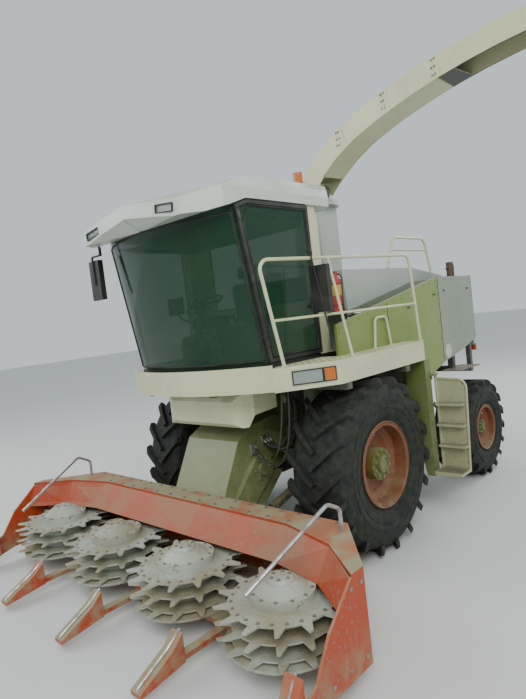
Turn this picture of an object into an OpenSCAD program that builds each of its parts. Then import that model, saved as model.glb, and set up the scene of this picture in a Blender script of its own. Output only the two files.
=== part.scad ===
// Self-propelled forage harvester with a rotary maize header.
// Millimetres. +X is the machine's left, -Y is forward, +Z is up.
// The machine is drawn with its front axle at y = 0 and its middle at x = 0,
// and place() then moves it so that the origin is under the middle of its box.

/* [Wheels] */
// Distance between the axles
wheelbase = 2734; // [2500:1:3000]
// Radius of a front tyre over its lugs
front_tyre_r = 898; // [850:1:930]
// Width of a front tyre
front_tyre_w = 640; // [560:1:680]
// Radius of a front rim over its flange
front_rim_r = 435; // [410:1:450]
// Middle of a front wheel from the machine's middle
front_wheel_x = 1179; // [1160:1:1220]
// Radius of a rear tyre over its lugs
rear_tyre_r = 658; // [630:1:680]
// Width of a rear tyre
rear_tyre_w = 540; // [480:1:560]
// Radius of a rear rim over its flange
rear_rim_r = 307; // [300:1:330]
// Middle of a rear wheel from the machine's middle
rear_wheel_x = 1159; // [1150:1:1190]
// Height of a front tyre's lugs
front_lug_h = 52; // [35:1:60]
// Height of a rear tyre's lugs
rear_lug_h = 38; // [25:1:45]
// Lugs on each side of a tyre
lug_count = 18; // [14:1:22]

/* [Axles and frame] */
// Radius of the front axle's tube
front_axle_r = 140; // [120:1:160]
// Radius of a wheel's spindle
spindle_r = 70; // [60:1:80]
// Gap between a spindle and its hub
spindle_gap = 0.05; // [0.03:0.01:0.1]
// Side of the rear axle's square beam
rear_beam = 160; // [140:1:180]
// Rear kingpin from the machine's middle
kingpin_x = 950; // [940:1:965]
// Radius of a knuckle's barrel
knuckle_r = 55; // [50:1:60]
// Outer face of a frame rail from the machine's middle
rail_x = 450; // [435:1:470]
// Width of a frame rail
rail_w = 90; // [60:1:110]
// Underside of the frame rails
rail_z = 1070; // [1060:1:1100]
// Height of the frame rails
rail_h = 200; // [150:1:220]

/* [Platform] */
// Outer face of the platform's fascia from the machine's middle
platform_x = 1487; // [1450:1:1520]
// Top of the platform
platform_z = 2056; // [2040:1:2090]
// Height of the platform's fascia
fascia_h = 222; // [180:1:225]
// Rear end of the platform
platform_rear_y = 982; // [900:1:990]
// Where the fascia's long side starts to turn in
fascia_corner_y = -639; // [-700:1:-600]
// Inner front corner of the headlamp fascia, from the middle
fascia_front_x = 1100; // [1080:1:1120]
// Inner front corner of the headlamp fascia, forward
fascia_front_y = -1150; // [-1180:1:-1120]
// Front of the bumper in its middle
bumper_front_y = -1470; // [-1500:1:-1440]
// Thickness of the fascia's sheet
fascia_t = 20; // [10:1:30]
// Radius of the railing's tube
rail_tube_r = 17; // [14:1:22]
// Top of the railing
railing_z = 3024; // [2950:1:3100]
// Height of the railing's middle tube
railing_mid_z = 2483; // [2400:1:2600]

/* [Cab] */
// Half of the cab's width
cab_x = 1000; // [985:1:1015]
// Top of the cab's floor over the platform's top
cab_step = 34; // [26:1:44]
// Under edge of the roof over the door
cab_top_z = 3600; // [3550:1:3640]
// Rear face of the cab
cab_rear_y = -30; // [-40:1:0]
// Front edge of the rear pillar
cab_pillar_y = -285; // [-320:1:-250]
// Foot of the front pillar
cab_front_y = -1083; // [-1120:1:-1050]
// How far the windscreen bulges ahead of the front pillars
screen_bulge = 270; // [240:1:290]
// Angle that the front pillars and windscreen lean forward
screen_lean = 9.1; // [8:0.1:10]
// Thickness of the windows
glass_t = 8; // [6:1:10]
// Thickness of the cab's walls and door frame
cab_wall = 40; // [30:1:50]
// Middle of the roof's front edge
roof_front_y = -1765; // [-1800:1:-1740]
// Rear edge of the roof
roof_rear_y = 200; // [150:1:240]
// Top of the roof's crown
roof_top_z = 3889; // [3850:1:3920]

/* [Body] */
// Outer face of the side panels from the middle
body_x = 1236; // [1225:1:1245]
// Thickness of the side panels
panel_t = 30; // [20:1:40]
// Front edge of the green panel
panel_front_y = -300; // [-305:1:-280]
// Border between the green and the grey panel
panel_split_y = 2005; // [1980:1:2030]
// Rear end of the body
body_rear_y = 3070; // [3040:1:3090]
// Top of the rear body
body_top_z = 2783; // [2760:1:2810]
// Half of the raised hood's width
hood_x = 900; // [880:1:920]
// Top of the raised hood
hood_z = 2950; // [2930:1:2980]
// Length of the engine block, across the machine
engine_l = 1240; // [1100:1:1300]

/* [Spout] */
// Middle of the discharge tower, behind the front axle
tower_y = 1200; // [1150:1:1250]
// Half of the tower's width
tower_half = 215; // [200:1:220]
// Top of the tower
tower_z = 3860; // [3820:1:3880]
// Direction of the spout from the machine's left, backward positive
spout_turn = -8; // [-12:1:0]
// Width of the spout inside
spout_w = 340; // [320:1:360]
// Thickness of the spout's sheets
spout_t = 6; // [5:1:8]
// Height of the spout's sides at its base
spout_h = 290; // [280:1:300]
// Height of the spout's sides at its tip
spout_tip_h = 180; // [170:1:190]
// Length of the flap at the spout's tip
flap_l = 420; // [380:1:450]

/* [Header] */
// Half of the header's width
header_x = 2350; // [2300:1:2400]
// Rear face of the header
header_rear_y = -1290; // [-1320:1:-1270]
// Top of the header's rear wall
header_z = 820; // [800:1:850]
// Underside of the header
header_low_z = 150; // [120:1:180]
// Middles of the drums from the header's middle to its end
drum_pitch = 1130; // [1120:1:1150]
// Middle of the drums, forward of the axle
drum_y = -1960; // [-1980:1:-1940]
// Radius of a drum over its teeth
drum_r = 520; // [500:1:530]
// Teeth around a drum
drum_teeth = 14; // [10:1:16]
// Tip of the crop dividers
divider_tip_y = -2920; // [-3000:1:-2850]
// Pivot of the header's lift, forward of the axle
lift_y = -420; // [-450:1:-400]
// Height of the header's lift pivot
lift_z = 1150; // [1120:1:1180]

/* [Hidden] */
$fn = 48;
seat_gap = 0.3;

// Colours
cream = "#d9d3b4";
seed_green = "#7c8f2e";
panel_grey = "#a9afb2";
header_red = "#b23a1c";
rim_red = "#a2492f";
dark = "#2b2c2c";
steel = "#8a8d8e";
glass = "#6f9a9640";

cab_floor_z = platform_z + cab_step;

// Spout: two arcs of its top line, each as start angle, end angle and radius
spout_arcs = [[41.8, 14, 2360], [14, -11, 7000]];
spout_start_s = 0;
spout_start_z = 4215;
spout_pivot_z = 4020;
spout_l = arc_run(spout_arcs[0]) + arc_run(spout_arcs[1]);
spout_side_x = spout_w / 2 + spout_t;
flap_angle = -22;
flap_top = 12;
flap_pin_r = 10;

// The box's sides, from which the origin is worked out
flap_hinge = top_at(spout_l);
flap_end_s = flap_hinge.x + flap_l * cos(flap_angle);
box_x_max = (flap_end_s - flap_top * sin(flap_angle)) * cos(spout_turn) + (spout_side_x
    + 10) * sin(-spout_turn);
box_x_min = -header_x;
box_y_min = divider_tip_y;
box_y_max = wheelbase + rear_tyre_r;
hitch_rear_y = body_rear_y + 170;
origin_x = (box_x_max + box_x_min) / 2;
origin_y = (box_y_min + box_y_max) / 2;

function unit(v) = v / norm(v);
function arc_run(a) = a[2] * (sin(a[0]) - sin(a[1]));
function arc_rise(a) = a[2] * (cos(a[1]) - cos(a[0]));
// A point of the spout's top line as [distance out, height, slope], for a distance out
function on_arc(a, s) = let (turn = asin(sin(a[0]) - s / a[2])) [s, a[2] * (cos(turn) - cos(a[0])), turn];
function top_at(s) = let (first = arc_run(spout_arcs[0]), q = s <= first
        ? on_arc(spout_arcs[0], s)
        : [s, arc_rise(spout_arcs[0]) + on_arc(spout_arcs[1], s - first)[1], on_arc(spout_arcs[1],
            s - first)[2]])
    [spout_start_s + q.x, spout_start_z + q.y, q.z];
// The height of the spout's sides at a distance out
function side_h(s) = spout_h + (spout_tip_h - spout_h) * s / spout_l;
// The spout's outline between two distances out, from its top line down to a share of its sides
function spout_band(s0, s1, drop0, drop1, steps = 12) = concat(
    [for (i = [0:steps]) let (s = s0 + (s1 - s0) * i / steps, q = top_at(s))
        [q.x + drop0 * side_h(s) * sin(q.z), q.y - drop0 * side_h(s) * cos(q.z)]],
    [for (i = [steps:-1:0]) let (s = s0 + (s1 - s0) * i / steps, q = top_at(s))
        [q.x + drop1 * side_h(s) * sin(q.z), q.y - drop1 * side_h(s) * cos(q.z)]]);

// The body is drawn for this tyre, and sits as low as the axle and the tyres' tops let it
drawn_tyre_r = 898;
rise = max(front_tyre_r - drawn_tyre_r, 2 * (front_tyre_r - drawn_tyre_r));
module place() translate([-origin_x, -origin_y, 0]) children();
module on_body() place() translate([0, 0, rise]) children();
module both_sides() {
    children();
    mirror([1, 0, 0]) children();
}
// Extrudes an outline of [y, z] from x0 to x1
module along_x(x0, x1) translate([x0, 0, 0]) rotate([90, 0, 90]) linear_extrude(x1 - x0) children();
// Extrudes an outline of [x, z] from y0 to y1
module along_y(y0, y1) translate([0, y1, 0]) rotate([90, 0, 0]) linear_extrude(y1 - y0) children();
// Extrudes a plan of [x, y] from z0 to z1
module along_z(z0, z1) translate([0, 0, z0]) linear_extrude(z1 - z0) children();
// A box between two corners
module block(low, high) translate(low) cube(high - low);
// A straight round bar between two points, turned about its own line
module bar(p, q, r, turn = 0) {
    d = q - p;
    translate(p) rotate([0, acos(d.z / norm(d)), atan2(d.y, d.x)]) rotate(turn)
        cylinder(h = norm(d), r = r, $fn = 24);
}
// The points of a path whose corners are bent to a radius, in equal turns
function bent_path(pts, bend, turns = 5) = [for (i = [0:len(pts) - 1])
    if (i == 0 || i == len(pts) - 1) pts[i]
    else let (d1 = unit(pts[i] - pts[i - 1]), d2 = unit(pts[i + 1] - pts[i]), turn = acos(d1 * d2),
            inward = unit(d2 - (d1 * d2) * d1),
                centre = pts[i] - d1 * bend * tan(turn / 2) + bend * inward)
        for (k = [0:turns]) let (a = turn * k / turns) centre + bend * (d1 * sin(a) - inward * cos(a))];
// A round tube swept along such a path. across is a direction that no stretch runs along.
module bent_tube(pts, r, bend, across = [1, 0, 0], sides = 12) {
    path = bent_path(pts, bend);
    last = len(path) - 1;
    dirs = [for (i = [0:last]) unit(path[min(i + 1, last)] - path[max(i - 1, 0)])];
    rings = [for (i = [0:last]) let (u = unit(cross(dirs[i], across)), v = cross(dirs[i], u))
        for (k = [0:sides - 1]) path[i] + r * (u * cos(360 * k / sides) + v * sin(360 * k / sides))];
    polyhedron(points = rings, faces = concat([[for (k = [0:sides - 1]) k]],
        [for (i = [0:last - 1], k = [0:sides - 1]) let (n = (k + 1) % sides)
            [i * sides + k, (i + 1) * sides + k, (i + 1) * sides + n, i * sides + n]],
        [[for (k = [sides - 1:-1:0]) last * sides + k]]));
}

// Wheels. Each is drawn round +Z with the outside up, then laid on its axle.
module on_wheel(x, y, z) translate([x, y, z]) rotate([0, 90, 0]) children();

module tyre(r, w, bore_r, flange_r, lug_h) {
    bead = w * 0.40;
    base = r - lug_h;
    side_h = base - flange_r;
    // Radius and half width, from the bead to the crown
    half = [[bore_r, bead], [flange_r + 4, bead], [flange_r + side_h * 0.22, w * 0.475],
        [flange_r + side_h * 0.48, w * 0.5], [flange_r + side_h * 0.74, w * 0.48],
        [flange_r + side_h * 0.92, w * 0.43], [base, w * 0.33], [base + 6, 0]];
    last = len(half) - 1;
    step = 360 / lug_count;
    rotate_extrude($fn = 96) polygon(concat([for (p = half) p],
        [for (i = [last - 1:-1:0]) [half[i].x, -half[i].y]]));
    intersection() {
        rotate_extrude($fn = 96) polygon([[base - 60, -w * 0.47], [base - 20, -w * 0.5],
            [r - 14, -w * 0.475],
            [r, -w * 0.44], [r, w * 0.44], [r - 14, w * 0.475], [base - 20, w * 0.5],
                [base - 60, w * 0.47]]);
        for (i = [0:lug_count - 1], side = [-1, 1])
            rotate([0, 0, (i + (side > 0 ? 0.5 : 0)) * step])
                translate([base + lug_h / 2 - 14, 0, side * w * 0.25])
                    rotate([side * 42, 0, 0]) cube([lug_h + 90, 46, w * 0.72], center = true);
    }
}

module rim(flange_r, barrel_r, half_w, disc_at, hub_r, hub_out) {
    t = 12;
    difference() {
        union() {
            rotate_extrude() polygon([[barrel_r - t, -half_w], [flange_r, -half_w],
                [flange_r, -half_w + 10],
                [barrel_r, -half_w + 14], [barrel_r, half_w - 14], [flange_r, half_w - 10],
                    [flange_r, half_w],
                [barrel_r - t, half_w]]);
            rotate_extrude() polygon([[hub_r - 20, disc_at], [barrel_r - t - 70, disc_at],
                [barrel_r - t + 2, disc_at + 45], [barrel_r - t + 2, disc_at + 63],
                    [barrel_r - t - 76, disc_at + 16],
                [hub_r - 20, disc_at + 16]]);
            translate([0, 0, disc_at - 60]) cylinder(h = hub_out + 60 - disc_at, r = hub_r);
        }
        translate([0, 0, -half_w]) cylinder(h = half_w + hub_out - 40, r = spindle_r + spindle_gap);
    }
}

front_barrel_r = front_rim_r - 30;
rear_barrel_r = rear_rim_r - 25;
front_rim_half = front_tyre_w * 0.4 + 24;
rear_rim_half = rear_tyre_w * 0.4 + 24;
module tyre_front() color(dark) on_wheel(front_wheel_x, 0, front_tyre_r)
    tyre(front_tyre_r, front_tyre_w, front_barrel_r + seat_gap, front_rim_r, front_lug_h);
module rim_front() color(rim_red) on_wheel(front_wheel_x, 0, front_tyre_r)
    rim(front_rim_r, front_barrel_r, front_rim_half, 80, 165, 215);
module tyre_rear() color(dark) on_wheel(rear_wheel_x, wheelbase, rear_tyre_r)
    tyre(rear_tyre_r, rear_tyre_w, rear_barrel_r + seat_gap, rear_rim_r, rear_lug_h);
module rim_rear() color(rim_red) on_wheel(rear_wheel_x, wheelbase, rear_tyre_r)
    rim(rear_rim_r, rear_barrel_r, rear_rim_half, 110, 100, 170);

// Axles
// Outer face of the front final drives
front_hub_x = 1110;
module front_axle() color(dark) {
    translate([0, 0, front_tyre_r]) {
        block([-150, -145, -190], [150, 190, 142]);
        rotate([0, 90, 0]) cylinder(h = 2 * 780, r = front_axle_r, center = true);
    }
    both_sides() {
        translate([780, 0, front_tyre_r]) rotate([0, 90, 0]) cylinder(h = front_hub_x - 780, r = 200);
        translate([front_hub_x - 10, 0, front_tyre_r]) rotate([0, 90, 0])
            cylinder(h = front_wheel_x + 170 - front_hub_x, r = spindle_r);
        block([rail_x - rail_w - 10, -120, front_tyre_r + 90], [rail_x, 120, rail_z + rise]);
        // Ears and pin that the lift cylinders hang from
        for (x = [ram_foot.x - ram_ear_x - 24, ram_foot.x + ram_ear_x]) along_x(x, x + 24)
            polygon([[-60, front_tyre_r - 90],
            [100, front_tyre_r - 90], [ram_foot.y + 50, ram_foot.z - 30],
                [ram_foot.y - 30, ram_foot.z - 50]]);
        translate([ram_foot.x - ram_ear_x - 23, ram_foot.y, ram_foot.z]) rotate([0, 90, 0])
            cylinder(h = 2 * ram_ear_x + 46, r = ram_pin_r);
    }
}
yoke_r = knuckle_r + 15;
kingpin_r = 28;
module rear_axle() color(dark) {
    low = rear_tyre_r - rear_beam / 2;
    high = rear_tyre_r + rear_beam / 2;
    block([-kingpin_x + 120, wheelbase - rear_beam / 2, low], [kingpin_x - 120, wheelbase + rear_beam / 2,
        high]);
    block([-150, wheelbase - 110, high - 10], [150, wheelbase + 110, rail_z + rise]);
    both_sides() for (z = [low - 55, high]) difference() {
        union() {
            translate([kingpin_x, wheelbase, z]) cylinder(h = 55, r = yoke_r);
            block([kingpin_x - 230, wheelbase - yoke_r, z], [kingpin_x, wheelbase + yoke_r, z + 55]);
        }
        translate([kingpin_x, wheelbase, z - 1]) cylinder(h = 57, r = kingpin_r + spindle_gap);
    }
}
module knuckle_body() color(dark) {
    gap = 1;
    translate([kingpin_x, wheelbase, rear_tyre_r - rear_beam / 2 + gap])
        cylinder(h = rear_beam - 2 * gap, r = knuckle_r);
    translate([kingpin_x, wheelbase, rear_tyre_r - rear_beam / 2 - 50])
        cylinder(h = rear_beam + 100, r = kingpin_r);
    translate([kingpin_x, wheelbase, rear_tyre_r]) rotate([0, 90, 0])
        cylinder(h = rear_wheel_x + 120 - kingpin_x, r = spindle_r);
}

// Main frame: two rails, cross members and the rear hitch
module chassis_frame() color(dark) {
    both_sides() block([rail_x - rail_w, -250, rail_z], [rail_x, body_rear_y - 20, rail_z + rail_h]);
    for (y = [1500, wheelbase - 60, body_rear_y - 110])
        block([-rail_x + rail_w - 1, y, rail_z], [rail_x - rail_w + 1, y + 120, rail_z + rail_h - 20]);
    // Engine feet
    both_sides() for (y = [engine_front_y + 70, engine_rear_y - 150])
        block([rail_x - rail_w, y, rail_z + rail_h - 1], [rail_x, y + 100, engine_z - seat_gap]);
    // Tail beam and hitch: a jaw of two plates with a pin bore
    block([-rail_x + 10, body_rear_y - 30, rail_z], [rail_x - 10, body_rear_y, rail_z + rail_h]);
    difference() {
        for (z = [rail_z + 10, rail_z + 110]) translate([0, hitch_rear_y - hitch_r, z]) {
            cylinder(h = 30, r = hitch_r);
            block([-hitch_r, -hitch_rear_y + hitch_r + body_rear_y - 1, 0], [hitch_r, 0, 30]);
        }
        translate([0, hitch_rear_y - hitch_r, rail_z]) cylinder(h = 200, r = hitch_pin_r);
    }
}
// Uprights on the rails, the beams that carry the cab, and the outriggers under the platforms
support_w = 70;
module cab_supports() color(dark) {
    beam_z = platform_z - fascia_h - 10;
    bumper_in = bumper_r - bumper_t;
    beam_front_y = bumper_centre_y - sqrt(pow(bumper_in, 2) - pow(rail_x + support_w, 2)) + seat_gap;
    side = rail_x + seat_gap;
    both_sides() {
        for (y = [-200, 560]) block([side, y, rail_z + 10], [side + support_w, y + 140, beam_z + 1]);
        block([side, beam_front_y, beam_z], [side + support_w, 720, beam_z + 70]);
        for (y = [-900, -140]) translate([side + 35, y, beam_z + 69])
            cylinder(h = cab_floor_z - 60 - seat_gap - beam_z - 69, r = 32);
        for (y = [-560, 560])
            block([side + support_w - 1, y, beam_z - 60], [platform_x - 10, y + 80,
                platform_z - fascia_h - seat_gap]);
    }
}
// Brackets on the rails that carry the body's panels, with posts under the hood's edges
bracket_w = 70;
module body_brackets() color(dark) both_sides() for (y = [1560, 2880]) {
    panel = body_x - panel_t - seat_gap;
    top = rail_z + rail_h + seat_gap;
    block([rail_x - bracket_w, y, top], [rail_x, y + bracket_w, bracket_z + 1]);
    block([rail_x - bracket_w, y, bracket_z], [panel, y + bracket_w, bracket_z + 80]);
    block([panel - 60, y, bracket_z + 79], [panel, y + bracket_w, 2300]);
    block([hood_x - 38, y, bracket_z + 79], [hood_x - 2, y + 40, hood_foot_z(y) - seat_gap]);
}
hitch_r = 60;
hitch_pin_r = 16;
bracket_z = 2 * rear_tyre_r + 104;

engine_z = rail_z + rail_h + 40;
engine_front_y = 2030;
engine_rear_y = 2830;
module engine_block() color(dark)
    block([-engine_l / 2, engine_front_y, engine_z], [engine_l / 2, engine_rear_y, engine_z + 920]);

// Chopper and accelerator housing between the front wheels, and up to the tower
chopper_half = 330;
chopper_r = 285;
feeder_pin_r = 40;
module chopper_housing() color(seed_green) {
    along_x(-chopper_half, chopper_half) {
        translate([lift_y, lift_z]) circle(chopper_r);
        polygon([[lift_y - 20, lift_z - chopper_r + 10], [lift_y + 170, lift_z - 240],
            [lift_y + 210, 1060], [300, 1060], [1040, 1080], [1400, 1350],
            [1400, 1700], [tower_y - 200, 1700], [tower_y - 200, 1960], [300, 1960], [-100, 1780],
            [lift_y + (chopper_r - 5) * cos(62), lift_z + (chopper_r - 5) * sin(62)]]);
    }
    // Feet on the frame rails
    both_sides() for (y = [360, 940]) block([chopper_half - 1, y, 1110],
        [rail_x - rail_w - seat_gap, y + 90, 1240]);
    // Pins that the feeder housing swings on
    both_sides() translate([chopper_half - 1, lift_y, lift_z]) rotate([0, 90, 0])
        cylinder(h = feeder_half + 12 - chopper_half, r = feeder_pin_r);
}

// Cab
lean_dy = tan(screen_lean);
function pillar_y(z) = cab_front_y - (z - cab_floor_z) * lean_dy;
screen_r = (pow(cab_x, 2) + pow(screen_bulge, 2)) / (2 * screen_bulge);
module screen_sheet(out, thick) translate([0, cab_front_y, cab_floor_z]) rotate([screen_lean, 0, 0])
    translate([0, screen_r - screen_bulge, -200]) linear_extrude(2000) difference() {
        circle(screen_r + out, $fn = 300);
        circle(screen_r + out - thick, $fn = 300);
    }
module cab_frame() color(dark) intersection() {
    along_x(-cab_x - 1, cab_x + 30) under_roof(seat_gap);
    cab_structure();
}
module cab_structure() {
    // Floor, with its front on the windscreen's curve
    difference() {
        block([-cab_x, -1700, cab_floor_z - 60], [cab_x, cab_rear_y, cab_floor_z]);
        difference() {
            block([-cab_x - 1, -1701, cab_floor_z - 61], [cab_x + 1, cab_front_y, cab_floor_z + 1]);
            translate([0, cab_front_y + screen_r - screen_bulge, cab_floor_z - 62])
                cylinder(h = 64, r = screen_r - glass_t - 2, $fn = 300);
        }
    }
    for (z = door_hinges) on_door_axis(z) hinge_leaf();
    both_sides() {
        // Front pillar, leaning with the windscreen
        along_x(cab_x - cab_wall - 12, cab_x - 2) polygon([[cab_front_y + 14, cab_floor_z],
            [cab_front_y + 64, cab_floor_z],
            [pillar_y(cab_top_z) + 64, cab_top_z], [pillar_y(cab_top_z) + 14, cab_top_z]]);
        // Rear pillar
        color(cream) translate([0, 0, cab_floor_z]) linear_extrude(cab_top_z - cab_floor_z)
            polygon([[cab_x - 90, cab_pillar_y], [cab_x, cab_pillar_y], [cab_x, -150],
                [cab_x - 60, cab_rear_y],
                [cab_x - 150, cab_rear_y], [cab_x - 150, cab_rear_y - 60], [cab_x - 90, -150]]);
        // Sill and header rail of the side
        block([cab_x - cab_wall - 12, cab_front_y + 60, cab_floor_z],
            [cab_x - 12, cab_pillar_y, cab_floor_z + 40]);
        block([cab_x - cab_wall - 12, pillar_y(cab_top_z) + 60, cab_top_z - 62],
            [cab_x - 12, cab_pillar_y, cab_top_z]);
    }
    // Rear wall with its window
    difference() {
        block([-cab_x + 150, cab_rear_y - 50, cab_floor_z], [cab_x - 150, cab_rear_y - 10, cab_top_z]);
        block([-cab_x + 240, cab_rear_y - 60, cab_floor_z + 560],
            [cab_x - 240, cab_rear_y, cab_top_z - 120]);
    }
    // Console under the steering column
    block([-90, -1180, cab_floor_z], [90, -1020, cab_floor_z + 180]);
    block([-200, -560, cab_floor_z], [200, -200, cab_floor_z + 260]);
}
// Underside of the roof, from its front edge to its rear edge
roof_under = [[roof_front_y - 10, 3470], [-1570, 3480], [-1370, 3530], [-1160, cab_top_z],
    [roof_rear_y, cab_top_z]];
module under_roof(gap) polygon(concat([[roof_front_y - 10, 1900]], [for (p = roof_under) p - [0, gap]],
    [[roof_rear_y, 1900]]));
module cab_roof() color(cream) difference() {
    intersection() {
        // Side outline
        along_x(-1100, 1100) polygon(concat([for (i = [len(roof_under) - 1:-1:0]) roof_under[i]],
            [[roof_front_y, visor_z + visor_h], [-1365, 3768], [-980, 3822], [-580, 3864],
            [-140, roof_top_z], [140, roof_top_z], [roof_rear_y, 3850]]));
        // Front outline
        along_y(roof_front_y - 50, roof_rear_y + 50) polygon([[-1030, 3400], [1030, 3400], [1030, 3690],
            [1010, 3770], [960, 3830],
            [870, 3868], [700, roof_top_z + 12], [-700, roof_top_z + 12], [-870, 3868], [-960, 3830],
                [-1010, 3770], [-1030, 3690]]);
        // Plan
        translate([0, 0, 3350]) linear_extrude(700) polygon(concat(roof_plan,
            [for (i = [len(roof_plan) - 1:-1:0]) [-roof_plan[i].x, roof_plan[i].y]]));
    }
    // The visor's edges fall away from the middle
    both_sides() translate([0, roof_front_y, visor_z + visor_h]) rotate([20, 0, 0]) rotate([0, visor_fall, 0])
        block([-20, -200, 0], [1300, 600, 300]);
    both_sides() translate([0, roof_front_y, visor_z]) rotate([-29, 0, 0]) rotate([0, visor_fall, 0])
        block([-20, -200, -300], [1300, 400, 0]);
    in_visor() block([-120, -80, -36], [120, 140, 36]);
}
visor_x = 800;
roof_plan = [[2, roof_front_y], [450, roof_front_y + 6], [visor_x, roof_front_y + 25],
    [1030, roof_front_y + 325], [1030, roof_rear_y - 120], [900, roof_rear_y]];
visor_z = 3588;
visor_h = 124;
visor_fall = 7.2;
// Both pockets of the work lamps, measured from the middle of a lens
module in_visor() both_sides() translate([600, roof_front_y, 3563]) rotate([0, visor_fall, 0]) children();
module cab_glass() color(glass) {
    // Windscreen
    difference() {
        intersection() {
            screen_sheet(0, glass_t);
            along_x(-cab_x + 4, cab_x - 4) difference() {
                under_roof(seat_gap);
                translate([-3000, 1000]) square([3000, cab_floor_z - 1000]);
            }
        }
        translate([0, cab_front_y + 14 - seat_gap, cab_floor_z]) rotate([screen_lean, 0, 0])
            block([-1100, 0, -300], [1100, 1200, 1900]);
    }
    // Right window and rear window
    mirror([1, 0, 0]) side_window(cab_front_y + 66);
    block([-cab_x + 240 + seat_gap, cab_rear_y - 34, cab_floor_z + 560 + seat_gap],
        [cab_x - 240 - seat_gap, cab_rear_y - 26, cab_top_z - 120 - seat_gap]);
}
module side_window(y_foot) along_x(cab_x - 12 + seat_gap, cab_x - 12 + seat_gap + glass_t)
    intersection() {
    under_roof(10);
    polygon([[y_foot, cab_floor_z + 10], [cab_pillar_y - 2, cab_floor_z + 10],
        [cab_pillar_y - 2, cab_top_z - 10],
        [pillar_y(cab_top_z - 10) + y_foot - cab_front_y, cab_top_z - 10]]);
}

// Door: a slim frame round its glass, hinged on pins beside the front pillar
door_x = cab_x + 2;
door_t = 28;
door_hinges = [2250, 2830, 3400];
hinge_pin_r = 5;
hinge_r = 9;
hinge_l = 90;
door_axis_x = door_x + door_t + hinge_r - 1;
module on_door_axis(z) translate([door_axis_x, pillar_y(z), z]) rotate([screen_lean, 0, 0]) children();
// Leaf on the front pillar, two ears and the pin
module hinge_leaf() {
    leaf_x = cab_x - 3 - door_axis_x;
    face_x = door_x - seat_gap - door_axis_x;
    linear_extrude(hinge_l) polygon([[leaf_x, 20], [face_x, 20], [face_x, 58], [leaf_x, 58]]);
    for (z = [0, hinge_l - 10]) translate([0, 0, z]) linear_extrude(10) {
        circle(hinge_r);
        polygon([[leaf_x, 22], [leaf_x, -3], [-2, -hinge_r], [-2, 5], [face_x, 7], [face_x, 22]]);
    }
    cylinder(h = hinge_l, r = hinge_pin_r);
}
// Barrel on the door's outer face
module hinge_barrel() translate([0, 0, 11]) linear_extrude(hinge_l - 22) difference() {
    union() {
        circle(hinge_r);
        polygon([[door_x + door_t - door_axis_x - 1, 0], [hinge_r - 1, 4], [-3, 40],
            [door_x + door_t - door_axis_x - 1, 40]]);
    }
    circle(hinge_pin_r + spindle_gap);
}
door_gap = 6;
door_foot = cab_floor_z + 16;
door_head = cab_top_z - 14;
module door_outline(inset) intersection() {
    under_roof(cab_top_z - door_head + inset);
    polygon([[pillar_y(door_foot + inset) + 10 + inset, door_foot + inset],
        [cab_pillar_y - door_gap - inset, door_foot + inset],
        [cab_pillar_y - door_gap - inset, cab_top_z], [pillar_y(cab_top_z) + 10 + inset, cab_top_z]]);
}
module cab_door() color(dark) {
    difference() {
        along_x(door_x, door_x + door_t) door_outline(0);
        along_x(door_x - 1, door_x + door_t + 1) door_outline(34);
    }
    // Latch handle
    block([door_x + door_t, cab_pillar_y - 130, 2560], [door_x + door_t + 16, cab_pillar_y - 30, 2600]);
    for (z = door_hinges) on_door_axis(z) hinge_barrel();
}
module door_glass() color(glass) along_x(door_x + 10, door_x + 10 + glass_t) door_outline(34 + seat_gap);

module operator_seat() color(dark) {
    z = cab_floor_z + 260 + seat_gap;
    block([-240, -640, z], [240, -190, z + 130]);
    along_x(-230, 230) polygon([[-290, z + 130], [-190, z + 130], [-110, z + 620], [-110, z + 800],
        [-190, z + 800], [-200, z + 620]]);
    both_sides() block([240, -560, z + 200], [300, -200, z + 250]);
    both_sides() block([240, -300, z + 60], [270, -220, z + 200]);
}
module steering_column() color(dark) {
    foot = [0, -1100, cab_floor_z + 180 + seat_gap];
    top = [0, -900, cab_floor_z + 640];
    bar(foot + [0, 0, 20], top, 35);
    translate(foot) cylinder(h = 60, r = 60);
    translate(top) rotate([25, 0, 0]) {
        rotate_extrude() translate([200, 0]) circle(14, $fn = 24);
        translate([0, 0, -12]) cylinder(h = 26, r = 50);
        for (a = [30, 150, 270]) rotate([0, 0, a]) translate([0, -16, -8]) cube([200, 32, 14]);
    }
}

// Bumper under the windscreen, an arc from fascia to fascia
bumper_t = 28;
bumper_r = (pow(fascia_front_x, 2) + pow(fascia_front_y - bumper_front_y,
    2)) / (2 * (fascia_front_y - bumper_front_y));
bumper_centre_y = bumper_front_y + bumper_r;
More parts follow.
